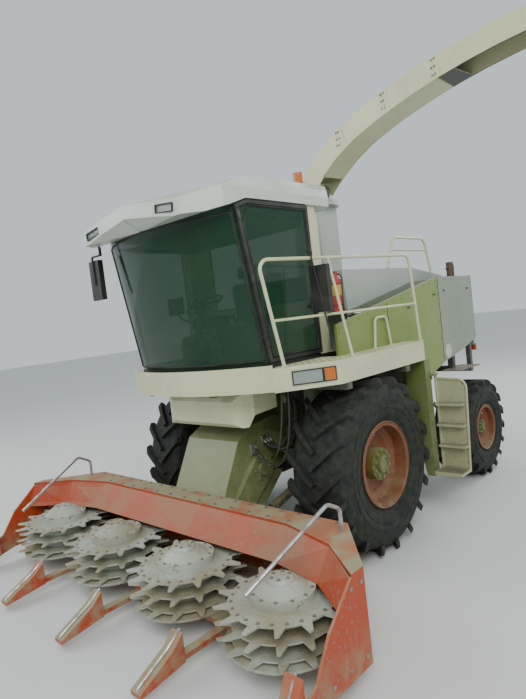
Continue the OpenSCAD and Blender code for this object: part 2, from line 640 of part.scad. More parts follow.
// Slope of the radial line at the bumper's ends
bumper_end_k = (bumper_centre_y - fascia_front_y) / fascia_front_x;
module front_bumper() color(cream) {
    bumper_arc();
    // Cover over the feeder's drive, hung from the beams that carry the cab
    difference() {
        cover_outline(0, cover_half);
        cover_outline(cover_t, cover_half - cover_t);
    }
}
cover_half = 640;
cover_t = 12;
cover_top_z = platform_z - fascia_h - 10 - seat_gap;
module cover_outline(inset, half) intersection() {
    along_x(-half, half) offset(delta = -inset) polygon([[-1090, 1470], [-1130, 1510], [-1130, 1730],
        [-1090, 1790], [-1020, cover_top_z],
        [-650, cover_top_z], [-650, 1600], [-980, 1580], [-1040, 1470]]);
    // Rounded towards its ends
    along_z(1400, 1900) polygon([[-half, -600], [-half, -980], [-half + 60, -1080], [-half + 160, -1131],
        [half - 160, -1131], [half - 60, -1080],
        [half, -980], [half, -600]]);
}
module bumper_arc() intersection() {
    translate([0, bumper_centre_y, platform_z - fascia_h + 10]) difference() {
        cylinder(h = fascia_h + 20, r = bumper_r, $fn = 300);
        translate([0, 0, -1]) cylinder(h = 300, r = bumper_r - bumper_t, $fn = 300);
    }
    translate([0, bumper_centre_y - 2 * seat_gap, 1000]) linear_extrude(2000)
        polygon([[0, 0], [1.6 * fascia_front_x, -1.6 * fascia_front_x * bumper_end_k],
            [-1.6 * fascia_front_x, -1.6 * fascia_front_x * bumper_end_k]]);
}

// Platforms: deck and fascia down each side
module platform_plan(inset) polygon([[cab_x + 4 + inset,
    fascia_front_y + (fascia_front_x - cab_x - 4 - inset) * bumper_end_k + inset * 1.33],
    [fascia_front_x - inset * 0.15, fascia_front_y + inset * 1.46],
    [platform_x - inset, fascia_corner_y + inset * 0.4], [platform_x - inset, platform_rear_y - inset],
    [body_x + seat_gap + inset, platform_rear_y - inset], [body_x + seat_gap + inset,
        panel_front_y - seat_gap - inset], [cab_x + 4 + inset, panel_front_y - seat_gap - inset]]);
module platforms() color(cream) both_sides() {
    difference() {
        translate([0, 0, platform_z - fascia_h]) linear_extrude(fascia_h) platform_plan(0);
        translate([0, 0, platform_z - fascia_h - 1]) linear_extrude(fascia_h - 24)
            platform_plan(fascia_t);
        // Headlamp and indicator recess in the swept front
        translate([fascia_front_x, fascia_front_y, 0]) rotate([0, 0, fascia_sweep])
            block([lamp_from, -40, lamp_z], [lamp_from + 420, 14, lamp_z + 130]);
    }
}
fascia_sweep = atan2(fascia_corner_y - fascia_front_y, platform_x - fascia_front_x);
lamp_from = 170;
lamp_z = platform_z - 175;
module on_fascia() translate([fascia_front_x, fascia_front_y, 0]) rotate([0, 0, fascia_sweep]) children();
module headlamps() color("#c9d3d8") {
    both_sides() on_fascia()
        block([lamp_from + 6, -6, lamp_z + 6], [lamp_from + 290, 14 - seat_gap, lamp_z + 124]);
    in_visor() block([-114, 22, -30], [114, 140 - seat_gap, 30]);
}
module amber_lamps() color("#d9781c") {
    both_sides() on_fascia() block([lamp_from + 300, -8, lamp_z + 6],
        [lamp_from + 414, 14 - seat_gap, lamp_z + 124]);
    translate([700, 40, roof_top_z + seat_gap]) {
        cylinder(h = 30, r = 62);
        translate([0, 0, 30]) cylinder(h = 110, r = 55);
    }
}

// Railing: posts that lean in, joined by a top and a middle tube
post_feet = [[fascia_front_x + 55, fascia_front_y + 105], [platform_x - 40, -378],
    [platform_x - 20, 950]];
rail_front = [1180, -1270];
rail_back = [platform_x - 17, 850];
rail_share = 0.405;
post_tops = [rail_front, rail_front + (rail_back - rail_front) * rail_share, rail_back];
// A point on post i at a height, and one between the first two posts at a share of their distance
function rails_at(i, z) = let (k = (z - platform_z) / (railing_z - platform_z),
    q = post_feet[i] + (post_tops[i] - post_feet[i]) * k) [q.x, q.y, z];
function railing_point(share, z) = rails_at(0, z) + (rails_at(1, z) - rails_at(0, z)) * share;
mirror_rod_out = rail_tube_r + 8 + seat_gap;
module railings() color(cream) {
    r = rail_tube_r;
    foot = platform_z + seat_gap;
    for (i = [0:2]) translate(rails_at(i, foot)) cylinder(h = 10, r = 32);
    bent_tube([rails_at(0, foot + 5), rails_at(0, railing_z), rails_at(2, railing_z), rails_at(2,
        foot + 5)], r, 90);
    bar(rails_at(1, foot + 5), rails_at(1, railing_z), r - 3, 15);
    bar(rails_at(0, railing_mid_z), rails_at(1, railing_mid_z), r - 4);
    bar(rails_at(1, railing_mid_z), rails_at(2, railing_mid_z), r - 4.5);
    // Grab arch by the green panel
    for (y = [330, 660]) translate([body_x + 25, y, foot]) cylinder(h = 8, r = 24);
    bent_tube([[body_x + 25, 330, foot + 5], [body_x + 25, 380, 2380], [body_x + 25, 610, 2380],
        [body_x + 25, 660, foot + 5]], 14, 60);
    // Arch over the hood
    x = hood_x - 40;
    arch_feet = [[x, 1460, hood_z + seat_gap], [x, 2620, hood_top_z(2620) + 1.5 * seat_gap]];
    translate(arch_feet[0]) cylinder(h = 12, r = 30);
    translate(arch_feet[1]) rotate([-hood_slope, 0, 0]) cylinder(h = 12, r = 30);
    bent_tube([arch_feet[0] + [0, 0, 9], [x, 1660, 3350], [x, 2500, 3350], arch_feet[1] + [0, 0, 9]], 17,
        140);
    bar([x, 1580, 3190], [x, 2540, 3190], 14);
}

// Box behind the front wheel. Its left one carries the ladder on two lugs.
box_front_y = front_tyre_r + 47;
box_rear_y = box_front_y + 125;
module side_box() color(seed_green) {
    top = platform_z - fascia_h - seat_gap;
    both_sides() difference() {
        along_y(box_front_y, box_rear_y) polygon([[body_x + 12, top], [platform_x + 4, top],
            [platform_x + 4, 495], [1400, 495], [body_x + 12, 1300]]);
        along_y(box_front_y + 12, box_rear_y + 1) polygon([[body_x + 24, top - 12],
            [platform_x - 8, top - 12], [platform_x - 8, 507], [1408, 507], [body_x + 24, 1306]]);
    }
    for (z = ladder_lugs) difference() {
        union() {
            block([platform_x - 8, box_rear_y - 40, z], [ladder_x + 30, ladder_y, z + 20]);
            translate([ladder_x, ladder_y, z]) cylinder(h = 20, r = 30);
        }
        translate([ladder_x, ladder_y, z - 1]) cylinder(h = 22, r = ladder_tube_r + spindle_gap);
    }
}

// Side panels, green in front and grey behind
module side_panels() color(seed_green) both_sides() along_x(body_x - panel_t, body_x)
    polygon([[panel_front_y, platform_z - 80], [panel_front_y, 2367], [panel_split_y - 2, body_top_z],
        [panel_split_y - 2, 1672], [1622, 1573],
        [platform_rear_y + 60, 1480], [platform_rear_y + 4, 1500],
            [platform_rear_y + 4, platform_z - 80]]);
module rear_panels() color(panel_grey) {
    both_sides() along_x(body_x - panel_t, body_x)
        polygon([[panel_split_y + 2, 1674], [panel_split_y + 2, body_top_z],
            [body_rear_y, body_top_z - 8], [body_rear_y, 1880], [2674, 1787]]);
    // Tail and the flat top behind the hood
    difference() {
        block([-body_x + panel_t, body_rear_y - panel_t, 1780],
            [body_x - panel_t, body_rear_y, body_top_z - 8]);
        block([-body_x + 160, body_rear_y - 60, 1860], [body_x - 160, body_rear_y + 10,
            body_top_z - 120]);
    }
}

// Raised hood over the radiators, with the tower's hole
hood_foot = [[1215, 2500], [2200, 2700]];
function hood_foot_z(y) = min(hood_foot[1].y,
    hood_foot[0].y + (y - hood_foot[0].x) * (hood_foot[1].y - hood_foot[0].y) / (hood_foot[1].x
    - hood_foot[0].x));
function panel_top_z(y) = 2367 + (y - panel_front_y) * (body_top_z - 2367) / (panel_split_y - 2
    - panel_front_y);
hood_bend = [[1990, hood_z], [2710, 2850]];
hood_slope = atan((hood_bend[0].y - hood_bend[1].y) / (hood_bend[1].x - hood_bend[0].x));
function hood_top_z(y) = lookup(y, hood_bend);
module engine_hood() color(panel_grey) difference() {
    along_x(-hood_x, hood_x) polygon([[420, 2500], [380, hood_z], hood_bend[0], hood_bend[1],
        [body_rear_y - panel_t - 4, 2790],
        [body_rear_y - panel_t - 4, 2700], hood_foot[1], hood_foot[0]]);
    along_x(-hood_x + 40, hood_x - 40) polygon([[440, 2400], [420, hood_z - 40], [1980, hood_z - 40],
        [2700, 2810],
        [body_rear_y - panel_t - 50, 2750], [body_rear_y - panel_t - 50, 2400]]);
    block([-tower_half - 20, tower_y - 220, 2400], [tower_half + 20, tower_y + 220, 3100]);
}
// Louvred slopes between the hood and the side panels, and the tail grille
module grilles() color("#4b4f50") {
    inner = hood_x + seat_gap;
    outer = body_x - panel_t - seat_gap;
    y0 = 400;
    y1 = panel_split_y - 20;
    both_sides() {
        for (i = [0:15]) let (y = y0 + 30 + i * 97, z = panel_top_z(y) - 15) block([inner, y, z],
            [outer, y + 62, z + 12]);
        for (x = [inner, outer - 20]) along_x(x, x + 20) polygon([[y0, panel_top_z(y0) - 60],
            [y0, panel_top_z(y0)], [y1, panel_top_z(y1)], [y1, panel_top_z(y1) - 60]]);
    }
    for (i = [0:9]) block([-body_x + 160 + seat_gap, body_rear_y - 24, 1880 + i * 78],
        [body_x - 160 - seat_gap, body_rear_y - 8, 1940 + i * 78]);
}
// Exhaust: a leg out of the engine's side, a pipe up beside the hood, and a cut-off mouth
exhaust_at = [1080, 2770, 3020];
exhaust_r = 52;
module exhaust() color("#6a4a34") difference() {
    union() {
        translate([exhaust_at.x, exhaust_at.y, 2150]) cylinder(h = exhaust_at.z - 2150, r = exhaust_r);
        translate([engine_l / 2 + seat_gap, exhaust_at.y, 2180]) rotate([0, 90, 0])
            cylinder(h = exhaust_at.x - engine_l / 2, r = 45);
    }
    translate([exhaust_at.x, exhaust_at.y, 2400]) cylinder(h = exhaust_at.z, r = exhaust_r - 5);
    translate([exhaust_at.x - 100, exhaust_at.y - 100, exhaust_at.z - 10]) rotate([-25, 0, 0])
        cube([200, 400, 200]);
}

module discharge_tower() color(panel_grey) {
    difference() {
        block([-tower_half, tower_y - 200, 1700 + seat_gap], [tower_half, tower_y + 200, tower_z]);
        block([-tower_half + 8, tower_y - 192, 1699], [tower_half - 8, tower_y + 192, tower_z + 1]);
    }
    difference() {
        translate([0, tower_y, tower_z]) cylinder(h = 30, r = 330);
        translate([0, tower_y, tower_z - 1]) cylinder(h = 32, r = 190);
    }
}

// Spout. It is drawn in its own plane, x outward and z up, and turned to its direction.
module in_spout() translate([0, tower_y, 0]) rotate([0, 0, spout_turn]) children();
module spout_turntable() color(panel_grey) in_spout() {
    difference() {
        translate([0, 0, tower_z + 30.3]) cylinder(h = 40, r = 320);
        translate([0, 0, tower_z]) cylinder(h = 100, r = 190);
    }
    difference() {
        intersection() {
            translate([0, 150, spout_pivot_z]) rotate([90, 0, 0]) cylinder(h = 300, r = 170);
            block([-200, -150, tower_z + 60], [200, 150, 4300]);
        }
        intersection() {
            translate([0, 142, spout_pivot_z]) rotate([90, 0, 0]) cylinder(h = 284, r = 162);
            block([-200, -142, tower_z], [200, 142, 4300]);
        }
        block([0, -142, 3990], [250, 142, 4300]);
        translate([0, 0, tower_z]) cylinder(h = 100, r = 140);
    }
    for (w = [-1, 1]) translate([0, w * 150, spout_pivot_z]) rotate([w * -90, 0, 0])
        cylinder(h = 30, r = 22);
}
module spout() color(cream) in_spout() {
    closed_l = spout_l * 0.56;
    for (w = [-spout_side_x, spout_w / 2]) difference() {
        along_y(w, w + spout_t) union() {
            polygon(spout_band(0, spout_l, 0, 1));
            translate([flap_hinge.x, flap_hinge.y]) circle(24);
            polygon([[-60, spout_start_z - 60], [0, spout_start_z], [180, spout_start_z - 150],
                [120, spout_pivot_z - 60], [-60, spout_pivot_z - 40]]);
        }
        translate([0, w - 1, spout_pivot_z]) rotate([-90, 0, 0])
            cylinder(h = spout_t + 2, r = 22 + spindle_gap);
        translate([flap_hinge.x, w - 1, flap_hinge.y]) rotate([-90, 0, 0])
            cylinder(h = spout_t + 2, r = flap_pin_r + spindle_gap);
    }
    along_y(-spout_w / 2 - 1, spout_w / 2 + 1) polygon(spout_band(0, spout_l, 0, 0.04));
    along_y(-spout_w / 2 - 1, spout_w / 2 + 1) polygon(spout_band(240, closed_l, 0.96, 1));
    // Turned-out lower edges, and bands round the closed part
    for (w = [-spout_side_x - 14, spout_side_x - 1]) along_y(w, w + 15)
        polygon(spout_band(240, spout_l - 60, 0.955, 1));
    for (s = [700, 1400, 2050], w = [-spout_side_x - 9, spout_side_x - 1]) along_y(w, w + 10)
        polygon(spout_band(s, s + 50, 0.01, 0.956, 1));
}
module spout_flap() color(cream) in_spout() translate([flap_hinge.x, 0, flap_hinge.y])
    rotate([0, -flap_angle, 0]) {
    for (w = [-spout_side_x - 10, spout_side_x + 4]) along_y(w, w + spout_t) {
        polygon([[-60, -10], [flap_l, flap_top], [flap_l, -110], [-60, -150]]);
        circle(20);
    }
    along_y(-spout_side_x - 5, spout_side_x + 5) polygon([[32, 6], [flap_l, flap_top],
        [flap_l, flap_top - 6], [32, 0]]);
    for (w = [-spout_side_x - 9, spout_w / 2 + 1]) translate([0, w, 0]) rotate([-90, 0, 0])
        cylinder(h = spout_t + 8, r = flap_pin_r);
}

// Mirrors: the left one on a rod that is clamped to the railing, the right one hung under the roof's visor
mirror_size = [200, 60, 440];
module mirrors() color(dark) {
    low = railing_point(0.72, railing_mid_z - 150) + [mirror_rod_out, 0, 0];
    high = railing_point(0.72, railing_z + 34) + [mirror_rod_out, 0, 0];
    bar(low, high, 8, 50);
    translate(high - [0, 0, 8]) {
        cylinder(h = 12, r1 = 12, r2 = 20);
        translate([0, 0, 11]) cylinder(h = 18, r = 20);
        translate([0, 0, 28]) cylinder(h = 8, r1 = 20, r2 = 13);
    }
    middle = low + (high - low) * (railing_mid_z + 247 - low.z) / (high.z - low.z);
    block(middle + [-mirror_size.x / 2, 6, -mirror_size.z / 2], middle + [mirror_size.x / 2,
        6 + mirror_size.y, mirror_size.z / 2]);
    hang_y = -1480;
    hang_z = lookup(hang_y - 16, roof_under) - seat_gap;
    bar([-cab_x + 40, hang_y, 3400], [-cab_x + 40, hang_y, hang_z], 16);
    bar([-cab_x + 40, hang_y, 3410], [-cab_x - 140, hang_y, 3410], 12);
    bar([-cab_x - 140, hang_y, 3410], [-cab_x - 140, hang_y, 3100], 12);
    block([-cab_x - 140 - mirror_size.x / 2, hang_y + 6, 3150 - mirror_size.z / 2],
        [-cab_x - 140 + mirror_size.x / 2, hang_y + 6 + mirror_size.y, 3150 + mirror_size.z / 2]);
}
// Extinguisher on a bracket behind the cab's rear pillar
extinguisher_at = [1080, cab_rear_y + 25, 2480];
module extinguisher() color("#b3261e") {
    translate(extinguisher_at) {
        cylinder(h = 350, r = 60);
        translate([0, 0, 349]) cylinder(h = 40, r1 = 60, r2 = 25);
        translate([0, 0, 388]) cylinder(h = 45, r = 25);
    }
    block([cab_x - 140, cab_rear_y + seat_gap, 2600], [extinguisher_at.x - 40, cab_rear_y + 14, 2640]);
}
module mudguards() color(dark) both_sides() {
    block([body_x - 80, 2050, 1540], [1430, 2640, 1552]);
    block([body_x - 80, 2300, 1551], [body_x - panel_t - seat_gap, 2380, 1860]);
}

// Ladder: a sheet in a bent tube, step lips and a bottom tread. It swings on its inner tube.
ladder_x = platform_x + 36;
ladder_y = box_rear_y + 45;
ladder_w = 350;
ladder_low_z = 560;
ladder_top_z = 1600;
ladder_tube_r = 17;
ladder_lugs = [ladder_low_z - 50, ladder_top_z + 40];
ladder_steps = [1300, 1060, 820];
module ladder() color(cream) {
    reach = ladder_x + ladder_w;
    translate([ladder_x, ladder_y, ladder_low_z - 70]) cylinder(h = ladder_top_z - ladder_low_z + 150,
        r = ladder_tube_r);
    bent_tube([[ladder_x + 5, ladder_y, ladder_top_z], [reach, ladder_y, ladder_top_z - 20],
        [reach - 40, ladder_y, ladder_low_z]], 15, 90, [0, 1, 0]);
    along_y(ladder_y - 3, ladder_y + 3) polygon([[ladder_x, ladder_low_z], [ladder_x, ladder_top_z - 5],
        [reach - 90, ladder_top_z - 10],
        [reach - 5, ladder_top_z - 110], [reach - 40, ladder_low_z]]);
    for (z = ladder_steps) block([ladder_x + 5, ladder_y - 90, z], [reach - 30, ladder_y, z + 25]);
    block([ladder_x + 5, ladder_y - 240, ladder_low_z - 20], [reach - 30, ladder_y + 15,
        ladder_low_z + 15]);
}

// Feeder housing between chopper and header; it swings with the header round the chopper's drum
feeder_half = 390;
feeder_t = 25;
feeder_clear = chopper_r + 12;
module feeder_housing() color(seed_green) {
    difference() {
        along_x(-feeder_half, feeder_half) polygon([[header_rear_y + seat_gap, 300],
            [header_rear_y + seat_gap, 800], [-1020, 1300], [-760, 1430],
            [lift_y, lift_z + 320], [lift_y, lift_z - 330], [-900, 420]]);
        along_x(-feeder_half + feeder_t, feeder_half - feeder_t) polygon([[header_rear_y - 10, 360],
            [header_rear_y - 10, 740], [-1000, 1250], [-750, 1390],
            [lift_y + 1, lift_z + 295], [lift_y + 1, lift_z - 290], [-880, 480]]);
        along_x(-chopper_half - 8, chopper_half + 8) translate([lift_y, lift_z]) circle(feeder_clear);
        for (side = [-1, 1]) translate([side * feeder_half, lift_y, lift_z]) rotate([0, 90, 0])
            cylinder(h = 2 * (feeder_half - chopper_half - 8), r = feeder_clear, center = true);
    }
    // Arms to the pins
    both_sides() difference() {
        along_x(chopper_half + 8, feeder_half) {
            polygon([[-760, 1000], [-760, 1400], [lift_y + 20, lift_z + 110],
                [lift_y + 20, lift_z - 110]]);
            translate([lift_y, lift_z]) circle(115);
        }
        translate([chopper_half, lift_y, lift_z]) rotate([0, 90, 0])
            cylinder(h = 100, r = feeder_pin_r + spindle_gap);
    }
    // Drive covers with bearing caps on both sides
    both_sides() {
        along_x(feeder_half - 1, feeder_half + 60) {
            translate([-760, 960]) circle(150);
            translate([-1120, 640]) circle(115);
            polygon([[-866, 1066], [-654, 854], [-1039, 559], [-1201, 721]]);
        }
        along_x(feeder_half + 59, feeder_half + 85) {
            translate([-760, 960]) circle(70);
            translate([-1120, 640]) circle(60);
        }
    }
    // Ears and pin at the rods' eyes
    both_sides() {
        for (x = [-1, 1]) along_x(ram_eye.x + x * 42 - 8, ram_eye.x + x * 42 + 8) polygon([[-1120, 370],
            [-880, 440], [ram_eye.y + 50, ram_eye.z - rise - 30],
            [ram_eye.y - 50, ram_eye.z - rise - 30]]);
        translate(ram_eye - [49, 0, rise]) rotate([0, 90, 0]) cylinder(h = 98, r = ram_pin_r);
    }
}

// Header
band = 230;
corner_x = 1850;
corner_y = header_rear_y - (header_x - corner_x) * 1.1;
wall_t = 20;
// Plan of the guards: the band's front edge, and their own lower edge
guard_t = 8;
guard_drop = 236;
guard_top = [[-header_x + wall_t + 1, corner_y - 134], [-corner_x - 100, header_rear_y - band - 160 + 6],
    [-1400, header_rear_y - band + 6],
    [1400, header_rear_y - band + 6], [corner_x + 100, header_rear_y - band - 160 + 6],
        [header_x - wall_t - 1, corner_y - 134]];
guard_foot = [[-header_x + wall_t + 1, corner_y - 240], [-1900, drum_y + 165], [-1400, drum_y + 268],
    [1400, drum_y + 268], [1900, drum_y + 165],
    [header_x - wall_t - 1, corner_y - 240]];
// A folded sheet between two plan paths, the second one lower by a drop
module sloped_sheet(top, foot, drop, t) {
    n = len(top);
    pts = concat([for (q = top) [q.x, q.y, 1]], [for (q = foot) [q.x, q.y, -drop]],
        [for (q = foot) [q.x, q.y - t, -drop]], [for (q = top) [q.x, q.y - t, 1]]);
    polyhedron(points = pts, faces = concat(
        [for (k = [0:3], i = [0:n - 2]) [k * n + i, ((k + 1) % 4) * n + i, ((k + 1) % 4) * n + i + 1,
            k * n + i + 1]],
        [[0, 3 * n, 2 * n, n], [n - 1, 2 * n - 1, 3 * n - 1, 4 * n - 1]]));
}
// A line inside the bevelled corner wall's outer face, by an inset
bevel_k = (header_x - corner_x) / (header_rear_y - corner_y);
function bevel_x(y, inset) = corner_x + (header_rear_y - y) * bevel_k - inset * sqrt(1 + pow(bevel_k, 2));
function bevel_y(x, inset) = header_rear_y - (x - corner_x + inset * sqrt(1 + pow(bevel_k, 2))) / bevel_k;
module header_frame() color(header_red) {
    seat = wall_t + seat_gap;
    seat_x = header_x - seat;
    // Rear wall with the feed opening, cut to the bevelled corners
    difference() {
        intersection() {
            both_sides() linear_extrude(header_z) polygon([[-1, header_rear_y],
                [bevel_x(header_rear_y, seat), header_rear_y],
                [bevel_x(header_rear_y - 70, seat), header_rear_y - 70], [-1, header_rear_y - 70]]);
            along_x(-corner_x - 100, corner_x + 100) polygon([[header_rear_y, header_low_z],
                [header_rear_y, header_z - 24], [header_rear_y - 30, header_z - 24],
                [header_rear_y - 30, header_low_z + 60], [header_rear_y - 60, header_low_z + 39],
                    [header_rear_y - 60, header_low_z]]);
        }
        block([-feeder_half + 30, header_rear_y - 60, 330], [feeder_half - 30, header_rear_y + 60, 730]);
    }
    // Floor pan under the drums
    both_sides() translate([0, 0, header_low_z]) linear_extrude(40) polygon([[-1, header_rear_y - 40],
        [bevel_x(header_rear_y - 40, seat), header_rear_y - 40],
        [seat_x, bevel_y(seat_x, seat)], [seat_x, drum_y - 150], [-1, drum_y - 150]]);
    // Drum spindles
    for (i = [-1.5, -0.5, 0.5, 1.5]) translate([i * drum_pitch, drum_y, header_low_z + 39])
        cylinder(h = 200, r = 45);
}
module header_hoods() color("#a8552f") {
    difference() {
        // Top band that ends in a point at each outer corner
        translate([0, 0, header_z - 24 + seat_gap]) linear_extrude(24) polygon([[-header_x, corner_y],
            [-corner_x, header_rear_y], [corner_x, header_rear_y],
            [header_x, corner_y], [header_x, corner_y - 140], [corner_x + 100,
                header_rear_y - band - 160], [1400, header_rear_y - band],
            [-1400, header_rear_y - band], [-corner_x - 100, header_rear_y - band - 160],
                [-header_x, corner_y - 140]]);
    }
    both_sides() {
        // End wall
        along_x(header_x - wall_t, header_x) polygon([[corner_y, header_low_z], [corner_y, header_z - 23],
            [corner_y - 140, header_z - 23], [drum_y - 300, 560],
            [divider_tip_y + 500, 330], [divider_tip_y, 100], [divider_tip_y, 60], [-2500, 100],
                [-2300, header_low_z]]);
        // Bevelled corner wall
        translate([0, 0, header_low_z]) linear_extrude(header_z - 23 - header_low_z)
            polygon([[corner_x, header_rear_y], [header_x, corner_y],
            [header_x - 1, bevel_y(header_x - 1, wall_t)], [bevel_x(header_rear_y, wall_t),
                header_rear_y]]);
        // Outer divider
        along_x(header_x - 160, header_x - 20) polygon([[drum_y - 560, header_low_z], [drum_y - 560, 420],
            [divider_tip_y + 300, 260], [divider_tip_y, 90], [divider_tip_y, 60]]);
    }
    // Guards that slope from the band's front edge down behind the drums
    translate([0, 0, header_z - 24 + seat_gap]) sloped_sheet(guard_top, guard_foot, guard_drop, guard_t);
    // Inner dividers, each on a runner under the pan
    for (i = [-1, 0, 1]) translate([i * drum_pitch, 0, 0]) {
        along_x(-60, 60) polygon([[drum_y - 560, header_low_z - 40], [drum_y - 560, 330],
            [divider_tip_y + 300, 240], [divider_tip_y, 90], [divider_tip_y, 60]]);
        block([-40, drum_y - 570, header_low_z - 40], [40, header_rear_y - 60, header_low_z - seat_gap]);
    }
}
module guide_tubes() color(steel) both_sides()
    bent_tube([[1900, header_rear_y - 150, header_z + seat_gap], [1900, header_rear_y - 150, 1000],
        [1900, header_rear_y - 300, 1080], [1760, drum_y - 420, 700]], 16, 60);

module drum(i) color("#c9cdb9") translate([i * drum_pitch, drum_y, 0]) difference() {
    union() {
        translate([0, 0, header_low_z + 45]) cylinder(h = 20, r = drum_r - 60);
        translate([0, 0, header_low_z + 45]) cylinder(h = 360, r = 250);
        for (z = [0, 1, 2]) translate([0, 0, header_low_z + 90 + z * 120]) linear_extrude(14) {
            circle(drum_r - 110);
            for (k = [0:drum_teeth - 1]) rotate(k * 360 / drum_teeth)
                polygon([[drum_r - 130, -45], [drum_r, -30], [drum_r - 10, 0], [drum_r - 130, 45]]);
        }
        translate([0, 0, header_low_z + 405]) cylinder(h = 60, r1 = 200, r2 = 120);
        translate([0, 0, header_low_z + 464]) cylinder(h = 26, r1 = 105, r2 = 90);
    }
    translate([0, 0, header_low_z + 20]) cylinder(h = 230, r = 45.05);
}

// Lift cylinders under the feeder: barrels that swing on the axle's ears, and rods that slide in them
ram_foot = [300, 70, front_tyre_r - 298];
ram_eye = [300, -1000, 320 + rise];
ram_pin_r = 18;
ram_ear_x = 57;
ram_eye_gap = 7;
ram_dir = unit(ram_eye - ram_foot);
ram_barrel_l = 640;
module lift_barrels() color(dark) both_sides() difference() {
    union() {
        bar(ram_foot + ram_dir * 40, ram_foot + ram_dir * ram_barrel_l, 50);
        translate(ram_foot - [ram_ear_x - seat_gap, 0, 0]) rotate([0, 90, 0])
            cylinder(h = 2 * (ram_ear_x - seat_gap), r = 52);
    }
    bar(ram_foot + ram_dir * 80, ram_foot + ram_dir * (ram_barrel_l + 1), 30 + spindle_gap);
    translate(ram_foot - [ram_ear_x, 0, 0]) rotate([0, 90, 0])
        cylinder(h = 2 * ram_ear_x, r = ram_pin_r + spindle_gap);
}
module lift_rods() color(steel) both_sides() difference() {
    union() {
        bar(ram_foot + ram_dir * 330, ram_eye - ram_dir * 30, 30);
        translate(ram_eye - [28, 0, 0]) rotate([0, 90, 0]) cylinder(h = 56, r = 42);
    }
    translate(ram_eye - [40, 0, 0]) rotate([0, 90, 0]) cylinder(h = 80, r = ram_pin_r + ram_eye_gap);
}

on_body() chassis_frame();
on_body() cab_supports();
on_body() body_brackets();
place() front_axle();
place() rear_axle();
on_body() engine_block();
on_body() chopper_housing();
on_body() cab_frame();
on_body() cab_roof();
on_body() cab_glass();
on_body() operator_seat();
on_body() steering_column();
on_body() front_bumper();
on_body() platforms();
on_body() headlamps();
on_body() amber_lamps();
on_body() railings();
on_body() side_box();
on_body() side_panels();
on_body() rear_panels();
on_body() engine_hood();
on_body() grilles();
on_body() exhaust();
on_body() discharge_tower();
on_body() mirrors();
on_body() extinguisher();
on_body() mudguards();
on_body() cab_door();
on_body() door_glass();
on_body() ladder();
on_body() spout_turntable();
on_body() spout();
on_body() spout_flap();
on_body() feeder_housing();
on_body() header_frame();
on_body() header_hoods();
on_body() guide_tubes();
on_body() drum(1.5);  // drum_left_outer
on_body() drum(0.5);  // drum_left_inner
on_body() drum(-0.5);  // drum_right_inner
on_body() drum(-1.5);  // drum_right_outer
place() lift_barrels();
place() lift_rods();
place() knuckle_body();  // knuckle_left
place() mirror([1, 0, 0]) knuckle_body();  // knuckle_right
place() tyre_front();  // tyre_front_left
place() mirror([1, 0, 0]) tyre_front();  // tyre_front_right
place() tyre_rear();  // tyre_rear_left
place() mirror([1, 0, 0]) tyre_rear();  // tyre_rear_right
place() rim_front();  // rim_front_left
place() mirror([1, 0, 0]) rim_front();  // rim_front_right
place() rim_rear();  // rim_rear_left
place() mirror([1, 0, 0]) rim_rear();  // rim_rear_right
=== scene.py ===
"""Dresses a self-propelled forage harvester: paints, rubber, glass, bolts, trim, lamps and a studio."""

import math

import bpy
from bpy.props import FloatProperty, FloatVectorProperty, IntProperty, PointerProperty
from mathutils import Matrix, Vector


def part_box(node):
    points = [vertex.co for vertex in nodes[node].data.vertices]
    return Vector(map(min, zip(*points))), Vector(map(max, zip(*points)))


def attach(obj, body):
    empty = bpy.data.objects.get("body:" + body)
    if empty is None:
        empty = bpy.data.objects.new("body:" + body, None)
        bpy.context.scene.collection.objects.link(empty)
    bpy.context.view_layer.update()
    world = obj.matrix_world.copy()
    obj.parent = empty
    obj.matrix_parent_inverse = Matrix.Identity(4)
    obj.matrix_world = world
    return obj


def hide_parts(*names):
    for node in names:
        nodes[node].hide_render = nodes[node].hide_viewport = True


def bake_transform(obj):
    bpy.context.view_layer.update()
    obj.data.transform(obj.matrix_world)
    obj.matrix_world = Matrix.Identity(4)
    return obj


bl_info = {
    "name": "Forage harvester dressing",
    "version": (1, 0, 0),
    "blender": (4, 5, 0),
    "location": "3D View > Sidebar > Harvester",
    "description": "Paints a forage harvester's frame and adds its bolts, trim and lamps",
    "category": "Object",
}

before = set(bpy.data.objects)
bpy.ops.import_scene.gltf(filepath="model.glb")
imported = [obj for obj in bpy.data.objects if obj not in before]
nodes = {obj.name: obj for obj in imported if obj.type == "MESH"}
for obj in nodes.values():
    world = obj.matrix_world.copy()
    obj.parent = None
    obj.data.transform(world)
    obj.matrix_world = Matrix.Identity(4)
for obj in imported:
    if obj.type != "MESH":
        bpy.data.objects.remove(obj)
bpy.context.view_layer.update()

# Finishes that many pieces share
PLASTIC = "black_grained_plastic"
ZINC = "zinc_plated_steel"
SEAL_RUBBER = "black_epdm_rubber"

# Where the photograph was taken from, relative to the ground under the front axle's middle
CAMERA_AT = Vector((4.4187, -4.7249, 2.5325))
CAMERA_AZIMUTH = 43.612
CAMERA_DOWN = 3.431
CAMERA_ROLL = -6.665
CAMERA_LENS = 28.09
SENSOR = 36.0


def axle_middle():
    """The ground under the front axle's middle, in the frame."""
    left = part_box("tyre_front_left")
    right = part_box("tyre_front_right")
    middle = (left[0] + left[1] + right[0] + right[1]) / 4
    return Vector((middle.x, middle.y, 0))


AXLE = axle_middle()


def linear(hex_code):
    """An sRGB hex colour as linear red, green, blue and alpha."""
    parts = [int(hex_code[i:i + 2], 16) / 255 for i in (1, 3, 5)]
    return tuple(c / 12.92 if c <= 0.04045 else ((c + 0.055) / 1.055) ** 2.4 for c in parts) + (1.0,)


def paint_colour(name, hex_code, text):
    """A colour that a user can change."""
    return FloatVectorProperty(name=name, description=text, subtype="COLOR", size=4, min=0, max=1,
                               default=linear(hex_code))


